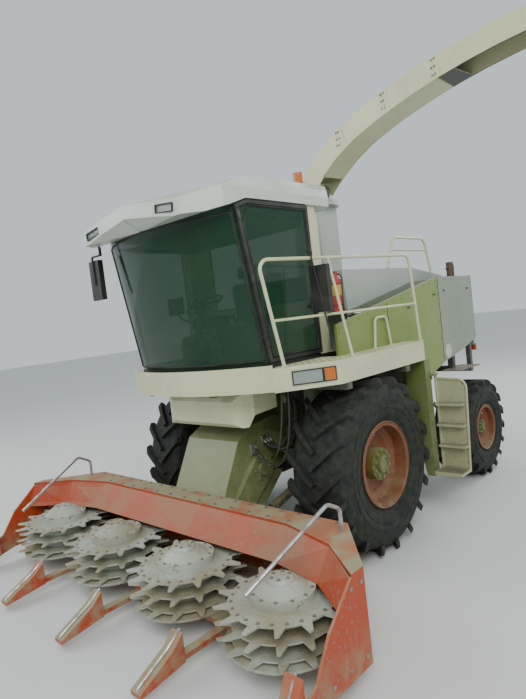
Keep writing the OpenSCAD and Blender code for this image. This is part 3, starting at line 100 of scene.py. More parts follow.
def length(name, metres, text):
    """A length that a user can change."""
    return FloatProperty(name=name, description=text, default=metres, unit="LENGTH")


class HarvesterPaints(bpy.types.PropertyGroup):
    """Colours of the machine's finishes."""
    cream: paint_colour("Cream enamel", "#c9caa2", "Fascias, railing, ladder, spout and cab pillars")
    green: paint_colour("Seed green enamel", "#778a36", "Side panels")
    # Painted shade: the seed green darkened for the post, chopper and feeder housings, which stand in shade
    painted_shade_green: paint_colour("Green enamel with painted shade", "#59682a", "Post, chopper and feeder housings")
    grey: paint_colour("Light grey enamel", "#a3aba2", "Hood")
    tail_grey: paint_colour("Stone grey enamel", "#869280", "Rear panels")
    ladder: paint_colour("Ladder enamel", "#a5a880", "Ladder, under years of dust")
    red: paint_colour("Header red enamel", "#a83a12", "Header walls and dividers")
    rim: paint_colour("Rim enamel", "#754022", "Wheel discs and barrels")
    hub: paint_colour("Hub enamel", "#5c6428", "Wheel hubs")
    dust: paint_colour("Crop dust", "#8f8768", "Dust of chopped crop and field soil")
    mud: paint_colour("Dried mud", "#565641", "Mud on tyres and low steel")
    rubber: paint_colour("Tyre rubber", "#171c19", "Tyres")
    glass: paint_colour("Cab glass", "#1f4530", "Tint of the windows")


class HarvesterSizes(bpy.types.PropertyGroup):
    """Sizes of the trim that a user would change."""
    bolt: length("Wheel bolt", 0.030, "Width across a wheel bolt's flats")
    seal: length("Window seal", 0.022, "Width of the rubber seal round the windows")
    hose: length("Hose", 0.026, "Outer diameter of a hydraulic hose")
    front_bolts: IntProperty(name="Front wheel bolts", description="Bolts round a front hub",
                             default=10, min=6, max=12)
    rear_bolts: IntProperty(name="Rear wheel bolts", description="Bolts round a rear hub",
                            default=8, min=5, max=10)


def paints():
    """The colours that the user has set."""
    return bpy.context.scene.harvester_paints


def sizes():
    """The sizes that the user has set."""
    return bpy.context.scene.harvester_sizes


# Shader helpers

# Settings of Math nodes, and of a Mix node, whose inputs are 0 for the factor, 6 and 7 for the colours
TIMES = {"operation": "MULTIPLY", "use_clamp": True}
PLUS = {"operation": "ADD", "use_clamp": True}
COLOURS = {"data_type": "RGBA"}


def feed(tree, node, inputs):
    """Sets a node's inputs, or links them to a socket or to another node's first output in use."""
    for key, value in inputs.items():
        if isinstance(value, bpy.types.Node):
            value = next(socket for socket in value.outputs if socket.enabled)
        if isinstance(value, bpy.types.NodeSocket):
            tree.links.new(value, node.inputs[key])
        else:
            node.inputs[key].default_value = value


def add(tree, kind, inputs=None, **settings):
    """Adds a shader node with its settings, and sets or links its inputs."""
    made = tree.nodes.new("ShaderNode" + kind)
    for name, value in settings.items():
        setattr(made, name, value)
    feed(tree, made, inputs or {})
    return made


def new_finish(name):
    """A material with its Principled shader and its object coordinates."""
    material = bpy.data.materials.new(name)
    material.use_nodes = True
    tree = material.node_tree
    return material, tree, tree.nodes["Principled BSDF"], add(tree, "TexCoord")


def patches(tree, place, size, low, high, most=1.0, detail=4.0):
    """Soft patches of about a size in metres, as a factor up to most between two thresholds of noise."""
    noise = add(tree, "TexNoise", {"Vector": place.outputs["Object"], "Scale": 1 / size, "Detail": detail})
    return add(tree, "MapRange", {"Value": noise, "From Min": low, "From Max": high, "To Max": most})


# Roughness of a surface that dust covers, and the height over which dust is no thicker
DUSTY_ROUGHNESS = 0.85
THICKEST_DUST = 0.15


def dusted(tree, place, shader, colour, reach, low_top, gloss, upward=0.5):
    """Crop dust that lies on upward faces, clings in patches, and thickens towards the ground."""
    normal = add(tree, "SeparateXYZ", {0: place.outputs["Normal"]})
    height = add(tree, "SeparateXYZ", {0: place.outputs["Object"]})
    up = add(tree, "MapRange", {"Value": normal.outputs["Z"], "From Min": 0.35, "From Max": 0.95,
                                "To Max": upward})
    low = add(tree, "MapRange", {"Value": height.outputs["Z"], "From Min": low_top,
                                 "From Max": THICKEST_DUST, "To Max": 0.7})
    broad = patches(tree, place, 0.35, 0.42, 0.66)
    fine = patches(tree, place, 0.03, 0.30, 0.72, reach)
    laid = add(tree, "Math", {0: broad, 1: 0.25 + upward * 0.2}, **PLUS)
    settled = add(tree, "Math", {0: up, 1: laid}, **TIMES)
    clinging = add(tree, "Math", {0: low, 1: patches(tree, place, 0.12, 0.36, 0.62)}, **TIMES)
    thin = add(tree, "Math", {0: broad, 1: fine}, **TIMES)
    thick = add(tree, "Math", {0: settled, 1: clinging}, **PLUS)
    dust = add(tree, "Math", {0: thick, 1: thin}, **PLUS)
    feed(tree, shader, {
        "Base Color": add(tree, "Mix", {0: dust, 6: colour, 7: paints().dust[:]}, **COLOURS),
        "Roughness": add(tree, "MapRange", {"Value": dust, "To Min": gloss, "To Max": DUSTY_ROUGHNESS})})


# Finishes

def enamel(name, colour, reach=0.45, low_top=1.5, gloss=0.32):
    """Two-pack enamel sprayed on sheet steel: a soft gloss, faded in broad patches, dulled by dust."""
    material, tree, shader, place = new_finish(name)
    faded = [0.75 * part + 0.25 for part in colour]
    broad = patches(tree, place, 0.8, 0.35, 0.75, 0.25)
    body = add(tree, "Mix", {0: broad, 6: colour, 7: faded}, **COLOURS)
    dusted(tree, place, shader, body, reach, low_top, gloss)
    wavy = patches(tree, place, 0.25, 0.2, 0.8, detail=2.0)
    feed(tree, shader, {"Normal": add(tree, "Bump", {"Height": wavy, "Distance": 0.002, "Strength": 0.25}),
                        "IOR": 1.5, "Coat Weight": 0.25, "Coat Roughness": 0.25})
    return material


def worn_enamel(name, colour, reach=0.15, upward=1.0):
    """Enamel on a header that crop and stones scrape: paint in patches, bared steel, thick dust on top."""
    material, tree, shader, place = new_finish(name)
    scraped = add(tree, "Math", {0: patches(tree, place, 0.03, 0.60, 0.66),
                                 1: patches(tree, place, 0.3, 0.50, 0.6)}, **TIMES)
    shade = patches(tree, place, 0.7, 0.45, 0.75, 0.55)
    darker = add(tree, "Mix", {0: shade, 6: colour, 7: linear("#6f351f")}, **COLOURS)
    body = add(tree, "Mix", {0: scraped, 6: darker, 7: linear("#7c7369")}, **COLOURS)
    dusted(tree, place, shader, body, reach, 0.5, 0.42, upward)
    chipped = patches(tree, place, 0.04, 0.3, 0.8)
    feed(tree, shader, {"Normal": add(tree, "Bump", {"Height": chipped, "Distance": 0.002, "Strength": 0.3})})
    return material


def tyre_rubber():
    """Carbon-black tyre rubber: near black, matt, grey-brown where mud has dried between and on the lugs."""
    material, tree, shader, place = new_finish("vulcanised_tyre_rubber")
    mud = add(tree, "Math", {0: patches(tree, place, 0.07, 0.38, 0.70, 0.55),
                             1: patches(tree, place, 0.010, 0.25, 0.80)}, **TIMES)
    clods = patches(tree, place, 0.012, 0.2, 0.8)
    feed(tree, shader, {
        "Base Color": add(tree, "Mix", {0: mud, 6: paints().rubber[:], 7: paints().mud[:]}, **COLOURS),
        "Normal": add(tree, "Bump", {"Height": clods, "Distance": 0.003, "Strength": 0.5}),
        "Roughness": 0.82})
    return material


def wheel_enamel(wheel, hub_radius):
    """Rim enamel with the hub brushed in green: two colours parted by the distance from the axle."""
    material, tree, shader, place = new_finish(f"rim_enamel_{wheel}")
    low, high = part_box(f"tyre_{wheel}")
    middle = (low + high) / 2
    shifted = add(tree, "Mapping", {"Vector": place.outputs["Object"], "Location": (0, -middle.y, -middle.z)},
                  vector_type="POINT")
    flat = add(tree, "VectorMath", {0: shifted, 1: (0, 1, 1)}, operation="MULTIPLY")
    away = add(tree, "VectorMath", {0: flat}, operation="LENGTH")
    outside = add(tree, "MapRange", {"Value": away, "From Min": hub_radius - 0.002,
                                     "From Max": hub_radius + 0.002})
    rust = patches(tree, place, 0.04, 0.5, 0.7, 0.6)
    rusty = add(tree, "Mix", {0: rust, 6: paints().rim[:], 7: linear("#593f2c")}, **COLOURS)
    body = add(tree, "Mix", {0: outside, 6: paints().hub[:], 7: rusty}, **COLOURS)
    dusted(tree, place, shader, body, 0.3, (high.z - low.z) / 2, 0.5)
    return material


def glass_finish(name, tint, alpha):
    """Tinted toughened glass: clear, thinly coated with field dust, with a sharp reflection."""
    material, tree, shader, place = new_finish(name)
    film = patches(tree, place, 0.5, 0.4, 0.8, 0.07)
    feed(tree, shader, {
        "Base Color": add(tree, "Mix", {0: film, 6: tint, 7: paints().dust[:]}, **COLOURS),
        "Alpha": add(tree, "MapRange", {"Value": film, "To Min": alpha, "To Max": min(1.0, alpha + 0.5)}),
        "Roughness": 0.06, "IOR": 1.5, "Specular IOR Level": 0.35})
    return material


def lens(name, colour):
    """Moulded acrylic lens, glossy, with flutes 10 mm apart across it."""
    material, tree, shader, place = new_finish(name)
    wave = add(tree, "TexWave", {"Vector": place.outputs["Object"], "Scale": 30.0}, bands_direction="X")
    flutes = wave.outputs["Fac"]
    shaded = [0.85 * part for part in colour[:3]] + [1]
    feed(tree, shader, {
        "Base Color": add(tree, "Mix", {0: flutes, 6: colour, 7: shaded}, **COLOURS),
        "Roughness": 0.12, "Coat Weight": 0.5,
        "Normal": add(tree, "Bump", {"Height": flutes, "Distance": 0.003, "Strength": 0.5})})
    return material


def plastic(name, colour, rough=0.5):
    """Moulded plastic, a little chalked by the sun. Its leather grain is drawn at 4 mm, so that it shows."""
    material, tree, shader, place = new_finish(name)
    chalk = patches(tree, place, 0.2, 0.4, 0.75, 0.14)
    grain = patches(tree, place, 0.004, 0.2, 0.8)
    feed(tree, shader, {
        "Base Color": add(tree, "Mix", {0: chalk, 6: colour, 7: paints().dust[:]}, **COLOURS),
        "Normal": add(tree, "Bump", {"Height": grain, "Distance": 0.001, "Strength": 0.3}),
        "Roughness": rough})
    return material


def bare_steel(name, colour, rough=0.35):
    """Steel that crop keeps bright: metallic, streaked, with brown film where it isn't rubbed."""
    material, tree, shader, place = new_finish(name)
    film = patches(tree, place, 0.08, 0.42, 0.66, 0.7)
    feed(tree, shader, {
        "Base Color": add(tree, "Mix", {0: film, 6: colour, 7: linear("#614d3c")}, **COLOURS),
        "Metallic": add(tree, "MapRange", {"Value": film, "From Max": 0.7, "To Min": 1.0, "To Max": 0.3}),
        "Roughness": rough})
    return material


def mirror_finish():
    """Silvered glass: a sharp, slightly green reflection under a thin film of dust."""
    material, tree, shader, place = new_finish("silvered_mirror_glass")
    film = patches(tree, place, 0.15, 0.45, 0.8, 0.35)
    feed(tree, shader, {
        "Base Color": add(tree, "Mix", {0: film, 6: linear("#b9c4bf"), 7: paints().dust[:]}, **COLOURS),
        "Roughness": add(tree, "MapRange", {"Value": film, "To Min": 0.05, "To Max": 0.6}),
        "Metallic": 1.0})
    return material


def cloth_finish():
    """Woven seat cloth, dark and matt. Its threads are too fine to show, so they are drawn 6 mm wide."""
    material, tree, shader, place = new_finish("woven_seat_cloth")
    wave = add(tree, "TexWave", {"Vector": place.outputs["Object"], "Scale": 26.0, "Distortion": 2.0})
    threads = {0: wave.outputs["Fac"], 6: linear("#26282a"), 7: linear("#3b3d40")}
    feed(tree, shader, {"Base Color": add(tree, "Mix", threads, **COLOURS), "Roughness": 0.95,
                        "Sheen Weight": 0.4})
    return material


def painted_nodes():
    """Gives each CAD node its material, and makes the finishes of what is added."""
    p = paints()
    finishes = (
        (enamel("cream_two_pack_enamel", p.cream[:], 0.35), "front_bumper platforms railings"),
        # The spout's finish paints shade inside its open half
        (spout_enamel_with_painted_shade(p.cream[:]), "spout spout_flap"),
        (enamel("seed_green_two_pack_enamel", p.green[:], 0.3), "side_panels"),
        # Painted shade: the housings take a darker copy of the side panels' green, for the shade that they
        # stand in
        (enamel("painted_shade_green_two_pack_enamel", p.painted_shade_green[:], 0.4),
         "chopper_housing side_box feeder_housing"),
        (enamel("light_grey_two_pack_enamel", p.grey[:], 0.3, 1.2),
         "engine_hood discharge_tower spout_turntable"),
        (enamel("stone_grey_two_pack_enamel", p.tail_grey[:], 0.35), "rear_panels"),
        (enamel("dusty_cream_enamel", p.ladder[:], 0.5), "ladder"),
        (enamel("black_chassis_enamel", linear("#1d1d1e"), 0.7, 2.2, 0.5),
         "chassis_frame front_axle rear_axle knuckle_left knuckle_right lift_barrels mudguards "
         "cab_supports body_brackets"),
        (worn_enamel("worn_header_enamel", p.red[:]), "header_frame header_hoods"),
        (tyre_rubber(), "tyre_front_left tyre_front_right tyre_rear_left tyre_rear_right"),
        (plastic(PLASTIC, linear("#1f2122")), "cab_door mirrors steering_column"),
        (enamel("grey_louvre_enamel", linear("#848d7e"), 0.4), "grilles"),
        (enamel("cream_gelcoat_shell", linear("#bfc9bd"), 0.3, 0.5, 0.28), "cab_roof"),
        (enamel("dusty_cast_iron_paint", linear("#3a3b39"), 0.9, 2.0, 0.7), "engine_block"),
        (glass_finish("green_tinted_glass", p.glass[:], 0.55), "cab_glass door_glass"),
        (lens("clear_fluted_lens", linear("#8d9a92")), "headlamps"),
        (lens("amber_fluted_lens", linear("#c46a17")), "amber_lamps"),
        (bare_steel("heat_browned_steel", linear("#6f6155"), 0.6), "exhaust"),
        (enamel("red_gloss_enamel", linear("#a81a12"), 0.2), "extinguisher"),
        (bare_steel("crop_polished_steel", linear("#c4c5c5")), "guide_tubes lift_rods"),
        (worn_enamel("pale_drum_enamel", linear("#a9b0a4"), 0.5, 0.5), " ".join(DRUMS)),
        (cloth_finish(), "operator_seat"),
        (cab_frame_finish(), "cab_frame"),
    )
    for finish, names in finishes:
        for name in names.split():
            dress(name, finish)
    for wheel, *_, measures in wheels():
        dress(f"rim_{wheel}", wheel_enamel(wheel, measures["hub"] / 1000))
    enamel("hub_bolt_enamel", p.hub[:], 0.2, 0.3, 0.5)
    lens("red_fluted_lens", linear("#9c1410"))
    for name, colour, rough in ((SEAL_RUBBER, "#141514", 0.7), ("hydraulic_hose_rubber", "#2c2f2b", 0.6),
                                ("bare_yellow_label", "#c9a03a", 0.4), ("bare_cream_vinyl", "#c8c7b8", 0.4)):
        plastic(name, linear(colour), rough)
    bare_steel(ZINC, linear("#a9aaa2"), 0.42)
    glass_finish("smoked_screen_glass", linear("#0c1012"), 0.95)
    mirror_finish()


# How far to the left of the machine's middle the spout's open half, where shade is painted inside, begins, in
# metres
SPOUT_OPENS = 2.05


def spout_enamel_with_painted_shade(colour):
    """Cream enamel outside, and painted shade inside the spout's open half: its down-facing faces there are
    painted near black.
    """
    material, tree, shader, place = new_finish("spout_enamel_with_painted_shade")
    at = add(tree, "SeparateXYZ", {0: place.outputs["Object"]}).outputs["X"]
    normal = add(tree, "SeparateXYZ", {0: place.outputs["Normal"]}).outputs["Z"]
    outer = add(tree, "MapRange", {"Value": at, "From Min": AXLE.x + SPOUT_OPENS - 0.01,
                                   "From Max": AXLE.x + SPOUT_OPENS + 0.01})
    down = add(tree, "MapRange", {"Value": normal, "From Min": -0.3, "From Max": -0.5})
    inside = add(tree, "Math", {0: outer, 1: down}, **TIMES)
    # Painted shade: the down-facing faces inside the open half are painted near black, where shade falls
    # inside the spout
    body = add(tree, "Mix", {0: inside, 6: colour, 7: linear("#15170f")}, **COLOURS)
    dusted(tree, place, shader, body, 0.3, 1.5, 0.32)
    return material


def cab_frame_finish():
    """Black pillars and liner in front, cream enamel on the rear pillars, parted where the door shuts."""
    material, tree, shader, place = new_finish("cab_frame_enamel")
    at = add(tree, "SeparateXYZ", {0: place.outputs["Object"]})
    low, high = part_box("cab_door")
    behind = add(tree, "Math", {0: at.outputs["Y"], 1: high.y + 0.003}, operation="GREATER_THAN")
    above = add(tree, "Math", {0: at.outputs["Z"], 1: low.z - 0.02}, operation="GREATER_THAN")
    cream = add(tree, "Math", {0: behind, 1: above}, **TIMES)
    body = add(tree, "Mix", {0: cream, 6: linear("#1f1f21"), 7: paints().cream[:]}, **COLOURS)
    dusted(tree, place, shader, body, 0.1, 1.0, 0.4)
    return material


def dress(name, finish):
    """Gives a CAD node its material."""
    slots = nodes[name].data.materials
    slots.clear()
    slots.append(finish)


# Mesh helpers. Places are in the machine's own millimetres, from the ground under its front axle.

def spot(x, y, z):
    """A place in the frame."""
    return AXLE + Vector((x, y, z)) / 1000


def stock(name):
    """A finish that the Finishes operator has made."""
    return bpy.data.materials[name]


def deselect():
    """Leaves nothing selected, so that an operator touches only what it makes."""
    bpy.ops.object.select_all(action="DESELECT")


def choose(pieces):
    """Selects pieces, the first one active."""
    deselect()
    for piece in pieces:
        piece.select_set(True)
    bpy.context.view_layer.objects.active = pieces[0]


def apply(piece, kind, **values):
    """Adds a modifier with its values and applies it."""
    choose([piece])
    made = piece.modifiers.new(kind.lower(), kind)
    for name, value in values.items():
        setattr(made, name, value)
    bpy.ops.object.modifier_apply(modifier=made.name)
    return piece


def in_mesh():
    """Puts the selected piece's place, turn and size into its mesh."""
    bpy.ops.object.transform_apply(location=True, rotation=True, scale=True)
    return bpy.context.object


def rounded_edges(piece, width, above=30):
    """Rounds the edges that bend by more than an angle."""
    return apply(piece, "BEVEL", width=width, segments=2, limit_method="ANGLE",
                 angle_limit=math.radians(above))


def block(low, high, edge):
    """A box between two corners with its edges rounded."""
    low, high = spot(*low), spot(*high)
    deselect()
    bpy.ops.mesh.primitive_cube_add(size=1, location=(low + high) / 2, scale=high - low)
    piece = in_mesh()
    return rounded_edges(piece, edge / 1000) if edge else piece


def disc(centre, axis, radius, depth, sides, edge=2.0):
    """A short cylinder about its centre along an axis, with its rims rounded."""
    deselect()
    turn = Vector(axis).to_track_quat("Z", "Y").to_euler()
    bpy.ops.mesh.primitive_cylinder_add(vertices=sides, radius=radius / 1000, depth=depth / 1000,
                                        location=spot(*centre), rotation=turn)
    piece = in_mesh()
    return rounded_edges(piece, edge / 1000, 40) if edge else piece


def pick(piece, test):
    """Opens a piece in edit mode with only the faces selected whose middle and normal pass a test."""
    choose([piece])
    bpy.ops.object.mode_set(mode="EDIT")
    bpy.ops.mesh.select_mode(type="FACE")
    bpy.ops.mesh.select_all(action="DESELECT")
    bpy.ops.object.mode_set(mode="OBJECT")
    for face in piece.data.polygons:
        face.select = test(face.center, face.normal)
    bpy.ops.object.mode_set(mode="EDIT")


def close():
    """Leaves edit mode."""
    bpy.ops.object.mode_set(mode="OBJECT")


def facing(direction):
    """A test for faces that look along a direction."""
    ahead = Vector(direction).normalized()
    return lambda middle, normal: normal.dot(ahead) > 0.9


def dished(piece, direction, border, depth):
    """Insets the faces that look along a direction and moves them by a depth, inwards if it is negative."""
    pick(piece, facing(direction))
    bpy.ops.mesh.inset(thickness=border / 1000, depth=0)
    bpy.ops.mesh.extrude_region_move(
        TRANSFORM_OT_translate={"value": Vector(direction).normalized() * depth / 1000})
    close()
    return piece


def outward(piece):
    """Turns a closed mesh's faces outwards."""
    choose([piece])
    bpy.ops.object.mode_set(mode="EDIT")
    bpy.ops.mesh.select_all(action="SELECT")
    bpy.ops.mesh.remove_doubles(threshold=0.00001)
    bpy.ops.mesh.normals_make_consistent(inside=False)
    close()
    return piece


def window_frame(low, high, border):
    """A rectangular frame: a box inset on its front and back, which are cut out and bridged."""
    piece = block(low, high, 0)
    pick(piece, lambda middle, normal: abs(normal.y) > 0.9)
    bpy.ops.mesh.inset(thickness=border / 1000, depth=0)
    bpy.ops.mesh.bridge_edge_loops()
    close()
    return rounded_edges(piece, 0.002)


def tube(points, radius, closed=False, sides=12):
    """A round bar that follows points, in metres, as a mesh. The radius is in millimetres."""
    line = bpy.data.curves.new("line", "CURVE")
    line.dimensions = "3D"
    spline = line.splines.new("POLY")
    spline.points.add(len(points) - 1)
    for point, at in zip(spline.points, points):
        point.co = (*at, 1)
    spline.use_cyclic_u = closed
    line.bevel_depth = radius / 1000
    line.bevel_resolution = sides // 4 - 1
    line.use_fill_caps = not closed
    piece = bpy.data.objects.new("tube", line)
    bpy.context.collection.objects.link(piece)
    choose([piece])
    bpy.ops.object.convert(target="MESH")
    return outward(bpy.context.object)


# The steps in which a bar's bend is drawn
BEND_STEPS = 5


def rounded(corners, radius):
    """Points along a line through corners, with each bend drawn as a short curve."""
    found = [corners[0]]
    for before, corner, after in zip(corners, corners[1:], corners[2:]):
        back, ahead = before - corner, after - corner
        first = corner + back.normalized() * min(radius / 1000, back.length * 0.45)
        last = corner + ahead.normalized() * min(radius / 1000, ahead.length * 0.45)
        for k in range(BEND_STEPS + 1):
            t = k / BEND_STEPS
            found.append(first * (1 - t) ** 2 + corner * (2 * t * (1 - t)) + last * t * t)
    return found + [corners[-1]]


def ring(centre, axis, radius, thickness, steps=72):
    """A round bead, such as a rolled edge, about an axis."""
    turn = Vector(axis).to_track_quat("Z", "Y")
    angles = (math.tau * k / steps for k in range(steps))
    return tube([spot(*centre) + turn @ Vector((math.cos(a), math.sin(a), 0)) * radius / 1000
                 for a in angles], thickness, True, 8)


def bar(corners, bend, radius):
    """A round bar through corners, in the machine's millimetres, that bends by a radius at each."""
    return tube(rounded([spot(*corner) for corner in corners], bend), radius)


def joined(pieces):
    """One piece made of several, which keeps the first one's place."""
    choose(pieces)
    if len(pieces) > 1:
        bpy.ops.object.join()
    return bpy.context.view_layer.objects.active


def settle(piece, name, finish, body="machine", smooth=35):
    """Names a finished piece, puts its place into its mesh, paints it and lets it ride on a body, if any."""
    piece.name = name
    piece.data.name = name
    choose([piece])
    in_mesh()
    bpy.ops.object.shade_smooth_by_angle(angle=math.radians(smooth))
    piece.data.materials.clear()
    piece.data.materials.append(stock(finish))
    if body:
        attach(piece, body)
    return piece


def copies(source, places):
    """A source repeated at matrices, each copy with its own mesh, as one piece. The source is removed."""
    made = []
    for matrix in places:
        twin = source.copy()
        twin.data = source.data.copy()
        bpy.context.collection.objects.link(twin)
        twin.data.transform(matrix @ source.matrix_world)
        twin.matrix_world = Matrix.Identity(4)
        made.append(twin)
    bpy.data.objects.remove(source)
    piece = joined(made)
    return outward(piece) if any(matrix.determinant() < 0 for matrix in places) else piece


def both_sides(source):
    """A piece of the machine's left side with its mirror image on the right side."""
    across = Matrix.Translation(AXLE) @ Matrix.Diagonal((-1, 1, 1, 1)) @ Matrix.Translation(-AXLE)
    return copies(source, [Matrix.Identity(4), across])


def landed(name, start, ahead):
    """Where a ray from a place first meets a solid, with +X standing on the surface there, or None."""
    hit, at, normal, _ = nodes[name].ray_cast(spot(*start), Vector(ahead).normalized())
    if not hit:
        return None
    return Matrix.Translation(at) @ normal.to_track_quat("X", "Z").to_matrix().to_4x4()


def landings(name, starts, ahead):
    """The places where rays meet a solid, without those that miss it."""
    found = [landed(name, start, ahead) for start in starts]
    return [place for place in found if place is not None]


def between(a, b, count):
    """Evenly spaced places from a to b, both included."""
    return [Vector(a).lerp(Vector(b), k / (count - 1)) for k in range(count)]


def around(centre, radius, count, axis="Z"):
    """Evenly spaced places on a circle about a centre, across an axis."""
    start = Vector((0, radius, 0) if axis == "X" else (radius, 0, 0))
    return [Vector(centre) + Matrix.Rotation(math.tau * k / count, 3, axis) @ start for k in range(count)]


def stub(sides, radius, depth, middle):
    """A cylinder along X, with its middle at a distance from the origin. Sizes are in metres."""
    deselect()
    bpy.ops.mesh.primitive_cylinder_add(vertices=sides, radius=radius, depth=depth, location=(middle, 0, 0),
                                        rotation=(0, math.pi / 2, 0))
    return in_mesh()


# A hexagon's radius to its corners as a part of its width across flats
HEX_CORNERS = 0.577


def hex_bolt(width, height):
    """A hexagon bolt head with a washer face, standing on +X at the origin. Sizes are in metres."""
    head = rounded_edges(stub(6, width * HEX_CORNERS, height, height * 0.65), width * 0.06)
    return joined([head, stub(16, width * 0.75, height * 0.3, height * 0.1)])


def pan_screw(width, height):
    """A round screw head with a socket, standing on +X at the origin. Sizes are in metres."""
    piece = stub(10, width / 2, height, height / 2)
    pick(piece, facing((1, 0, 0)))
    bpy.ops.mesh.inset(thickness=width * 0.14, depth=height * 0.3)
    bpy.ops.mesh.inset(thickness=width * 0.12, depth=0)
    bpy.ops.mesh.extrude_region_move(TRANSFORM_OT_translate={"value": (-height * 0.5, 0, 0)})
    close()
    return piece


# Stage

class HARVESTER_OT_stage(bpy.types.Operator):
    """Adds the photograph's camera, a pale floor and soft studio lights"""
    bl_idname = "harvester.stage"
    bl_label = "Stage"

    def execute(self, context):
        place_camera()
        place_floor()
        place_lights()
        return {"FINISHED"}


def place_camera():
    """The camera that was fitted to the photograph."""
    a, e, r = (math.radians(v) for v in (CAMERA_AZIMUTH, CAMERA_DOWN, CAMERA_ROLL))
    ahead = Vector((-math.sin(a) * math.cos(e), math.cos(a) * math.cos(e), -math.sin(e)))
    level = Vector((math.cos(a), math.sin(a), 0))
    above = level.cross(ahead)
    right = math.cos(r) * level + math.sin(r) * above
    up = -math.sin(r) * level + math.cos(r) * above
    lens_data = bpy.data.cameras.new("photo_camera")
    lens_data.sensor_fit = "AUTO"
    lens_data.sensor_width = SENSOR
    lens_data.lens = CAMERA_LENS
    lens_data.clip_start = 0.05
    lens_data.clip_end = 200
    camera = bpy.data.objects.new("photo_camera", lens_data)
    bpy.context.collection.objects.link(camera)
    turn = Matrix((right, up, -ahead)).transposed()
    camera.matrix_world = Matrix.Translation(CAMERA_AT + AXLE) @ turn.to_4x4()
    bpy.context.scene.camera = camera


def place_floor():
    """A pale floor under the wheels."""
    deselect()
    bpy.ops.mesh.primitive_grid_add(x_subdivisions=8, y_subdivisions=8, size=120, location=(0, 0, 0))
    floor = bpy.context.object
    floor.name = "studio_floor"
    material, tree, shader, _ = new_finish("pale_studio_floor")
    feed(tree, shader, {"Base Color": linear("#cfd0cd"), "Roughness": 0.9})
    floor.data.materials.append(material)


# Each light's name, place and power, and the width of all of them and the height that they look at
LIGHTS = (("key", (9, -9, 11), 1500), ("fill", (-10, -6, 9), 600), ("back", (2, 12, 10), 700))
LIGHT_WIDTH = 8
LIT_HEIGHT = 1.5


def place_lights():
    """An overcast sky and three wide lights."""
    world = bpy.data.worlds.new("overcast_sky")
    world.use_nodes = True
    tree = world.node_tree
    feed(tree, tree.nodes["Background"], {"Color": linear("#e7f1f6"), "Strength": 0.85})
    bpy.context.scene.world = world
    for name, at, power in LIGHTS:
        light = bpy.data.lights.new(name, "AREA")
        light.energy = power
        light.size = LIGHT_WIDTH
        lamp = bpy.data.objects.new(name, light)
        lamp.location = at
        lamp.rotation_euler = (Vector((0, 0, LIT_HEIGHT)) - Vector(at)).to_track_quat("-Z", "Y").to_euler()
        bpy.context.collection.objects.link(lamp)


class HARVESTER_OT_finishes(bpy.types.Operator):
    """Paints every solid of the frame"""
    bl_idname = "harvester.finishes"
    bl_label = "Finishes"

    def execute(self, context):
        painted_nodes()
        return {"FINISHED"}


# Wheels

# Per end, in millimetres: radius of the green hub, of the bolts' circle and of the cap, the hub's face and
# the rim's edges from the wheel's middle, radius of those edges, the valve's place across and up, and each
# ring of the tyre's wall as radius, distance from the middle and thickness
WHEELS = {
    "front": {"hub": 165, "circle": 135, "cap": 88, "face": 215, "half": 280, "flange": 433,
              "valve": (88, 340), "rings": ((452, 264, 12), (496, 288, 5), (585, 313, 6), (655, 318, 5))},
    "rear": {"hub": 100, "circle": 80, "cap": 52, "face": 170, "half": 240, "flange": 305,
             "valve": (120, 225), "rings": ((324, 224, 11), (362, 248, 5), (430, 266, 5), (485, 268, 5))},
}


def wheels():
    """Each wheel: its name, its sign across, its middle in the machine's millimetres and its measures."""
    for end, measures in WHEELS.items():
        for side, sign in (("left", 1), ("right", -1)):
            low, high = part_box(f"tyre_{end}_{side}")
            yield f"{end}_{side}", sign, ((low + high) / 2 - AXLE) * 1000, measures


class HARVESTER_OT_wheel_bolts(bpy.types.Operator):
    """Adds the bolts round each wheel's hub"""
    bl_idname = "harvester.wheel_bolts"
    bl_label = "Wheel bolts"

    def execute(self, context):
        for wheel, sign, middle, measures in wheels():
            count = sizes().front_bolts if "front" in wheel else sizes().rear_bolts
            at = Matrix.Translation(spot(*middle)) @ Matrix.Diagonal((sign, 1, 1, 1))
            out = Matrix.Translation(Vector((measures["face"], 0, measures["circle"])) / 1000)
            turns = [at @ Matrix.Rotation(math.tau * k / count, 4, "X") @ out for k in range(count)]
            settle(copies(hex_bolt(sizes().bolt, 0.022), turns), f"wheel_bolts_{wheel}",
                   "hub_bolt_enamel", f"wheel_{wheel}", 30)
        return {"FINISHED"}


class HARVESTER_OT_hub_caps(bpy.types.Operator):
    """Adds each hub's stepped cap and the rolled edges of the rims"""
    bl_idname = "harvester.hub_caps"
    bl_label = "Hub caps and rim edges"

    def execute(self, context):
        for wheel, sign, (x, y, z), measures in wheels():
            cap, half = measures["cap"], measures["half"]
            out = (sign, 0, 0)
            piece = disc((x + sign * (measures["face"] + 12), y, z), out, cap, 30, 40)
            dished(piece, out, cap * 0.28, 14)
            dished(piece, out, cap * 0.30, -6)
            settle(piece, f"hub_cap_{wheel}", "hub_bolt_enamel", f"wheel_{wheel}", 30)
            edges = [ring((x + k, y, z), (1, 0, 0), measures["flange"], 9) for k in (-half, half)]
            settle(joined(edges), f"rim_edge_{wheel}", f"rim_enamel_{wheel}", f"wheel_{wheel}", 60)
        return {"FINISHED"}


class HARVESTER_OT_valves(bpy.types.Operator):
    """Adds a tyre valve with its cap to each wheel"""
    bl_idname = "harvester.valves"
    bl_label = "Tyre valves"

    def execute(self, context):
        for wheel, sign, (x, y, z), measures in wheels():
            across, up = measures["valve"]
            x += sign * across
            z += up
            stem = bar([(x, y, z), (x + sign * 45, y, z), (x + sign * 75, y, z - 45)], 30, 6)
            cap = disc((x + sign * 73, y, z - 42), (sign, 0, -1.5), 9, 24, 12, 1)
            settle(joined([stem, cap]), f"valve_{wheel}", ZINC, f"wheel_{wheel}")
        return {"FINISHED"}


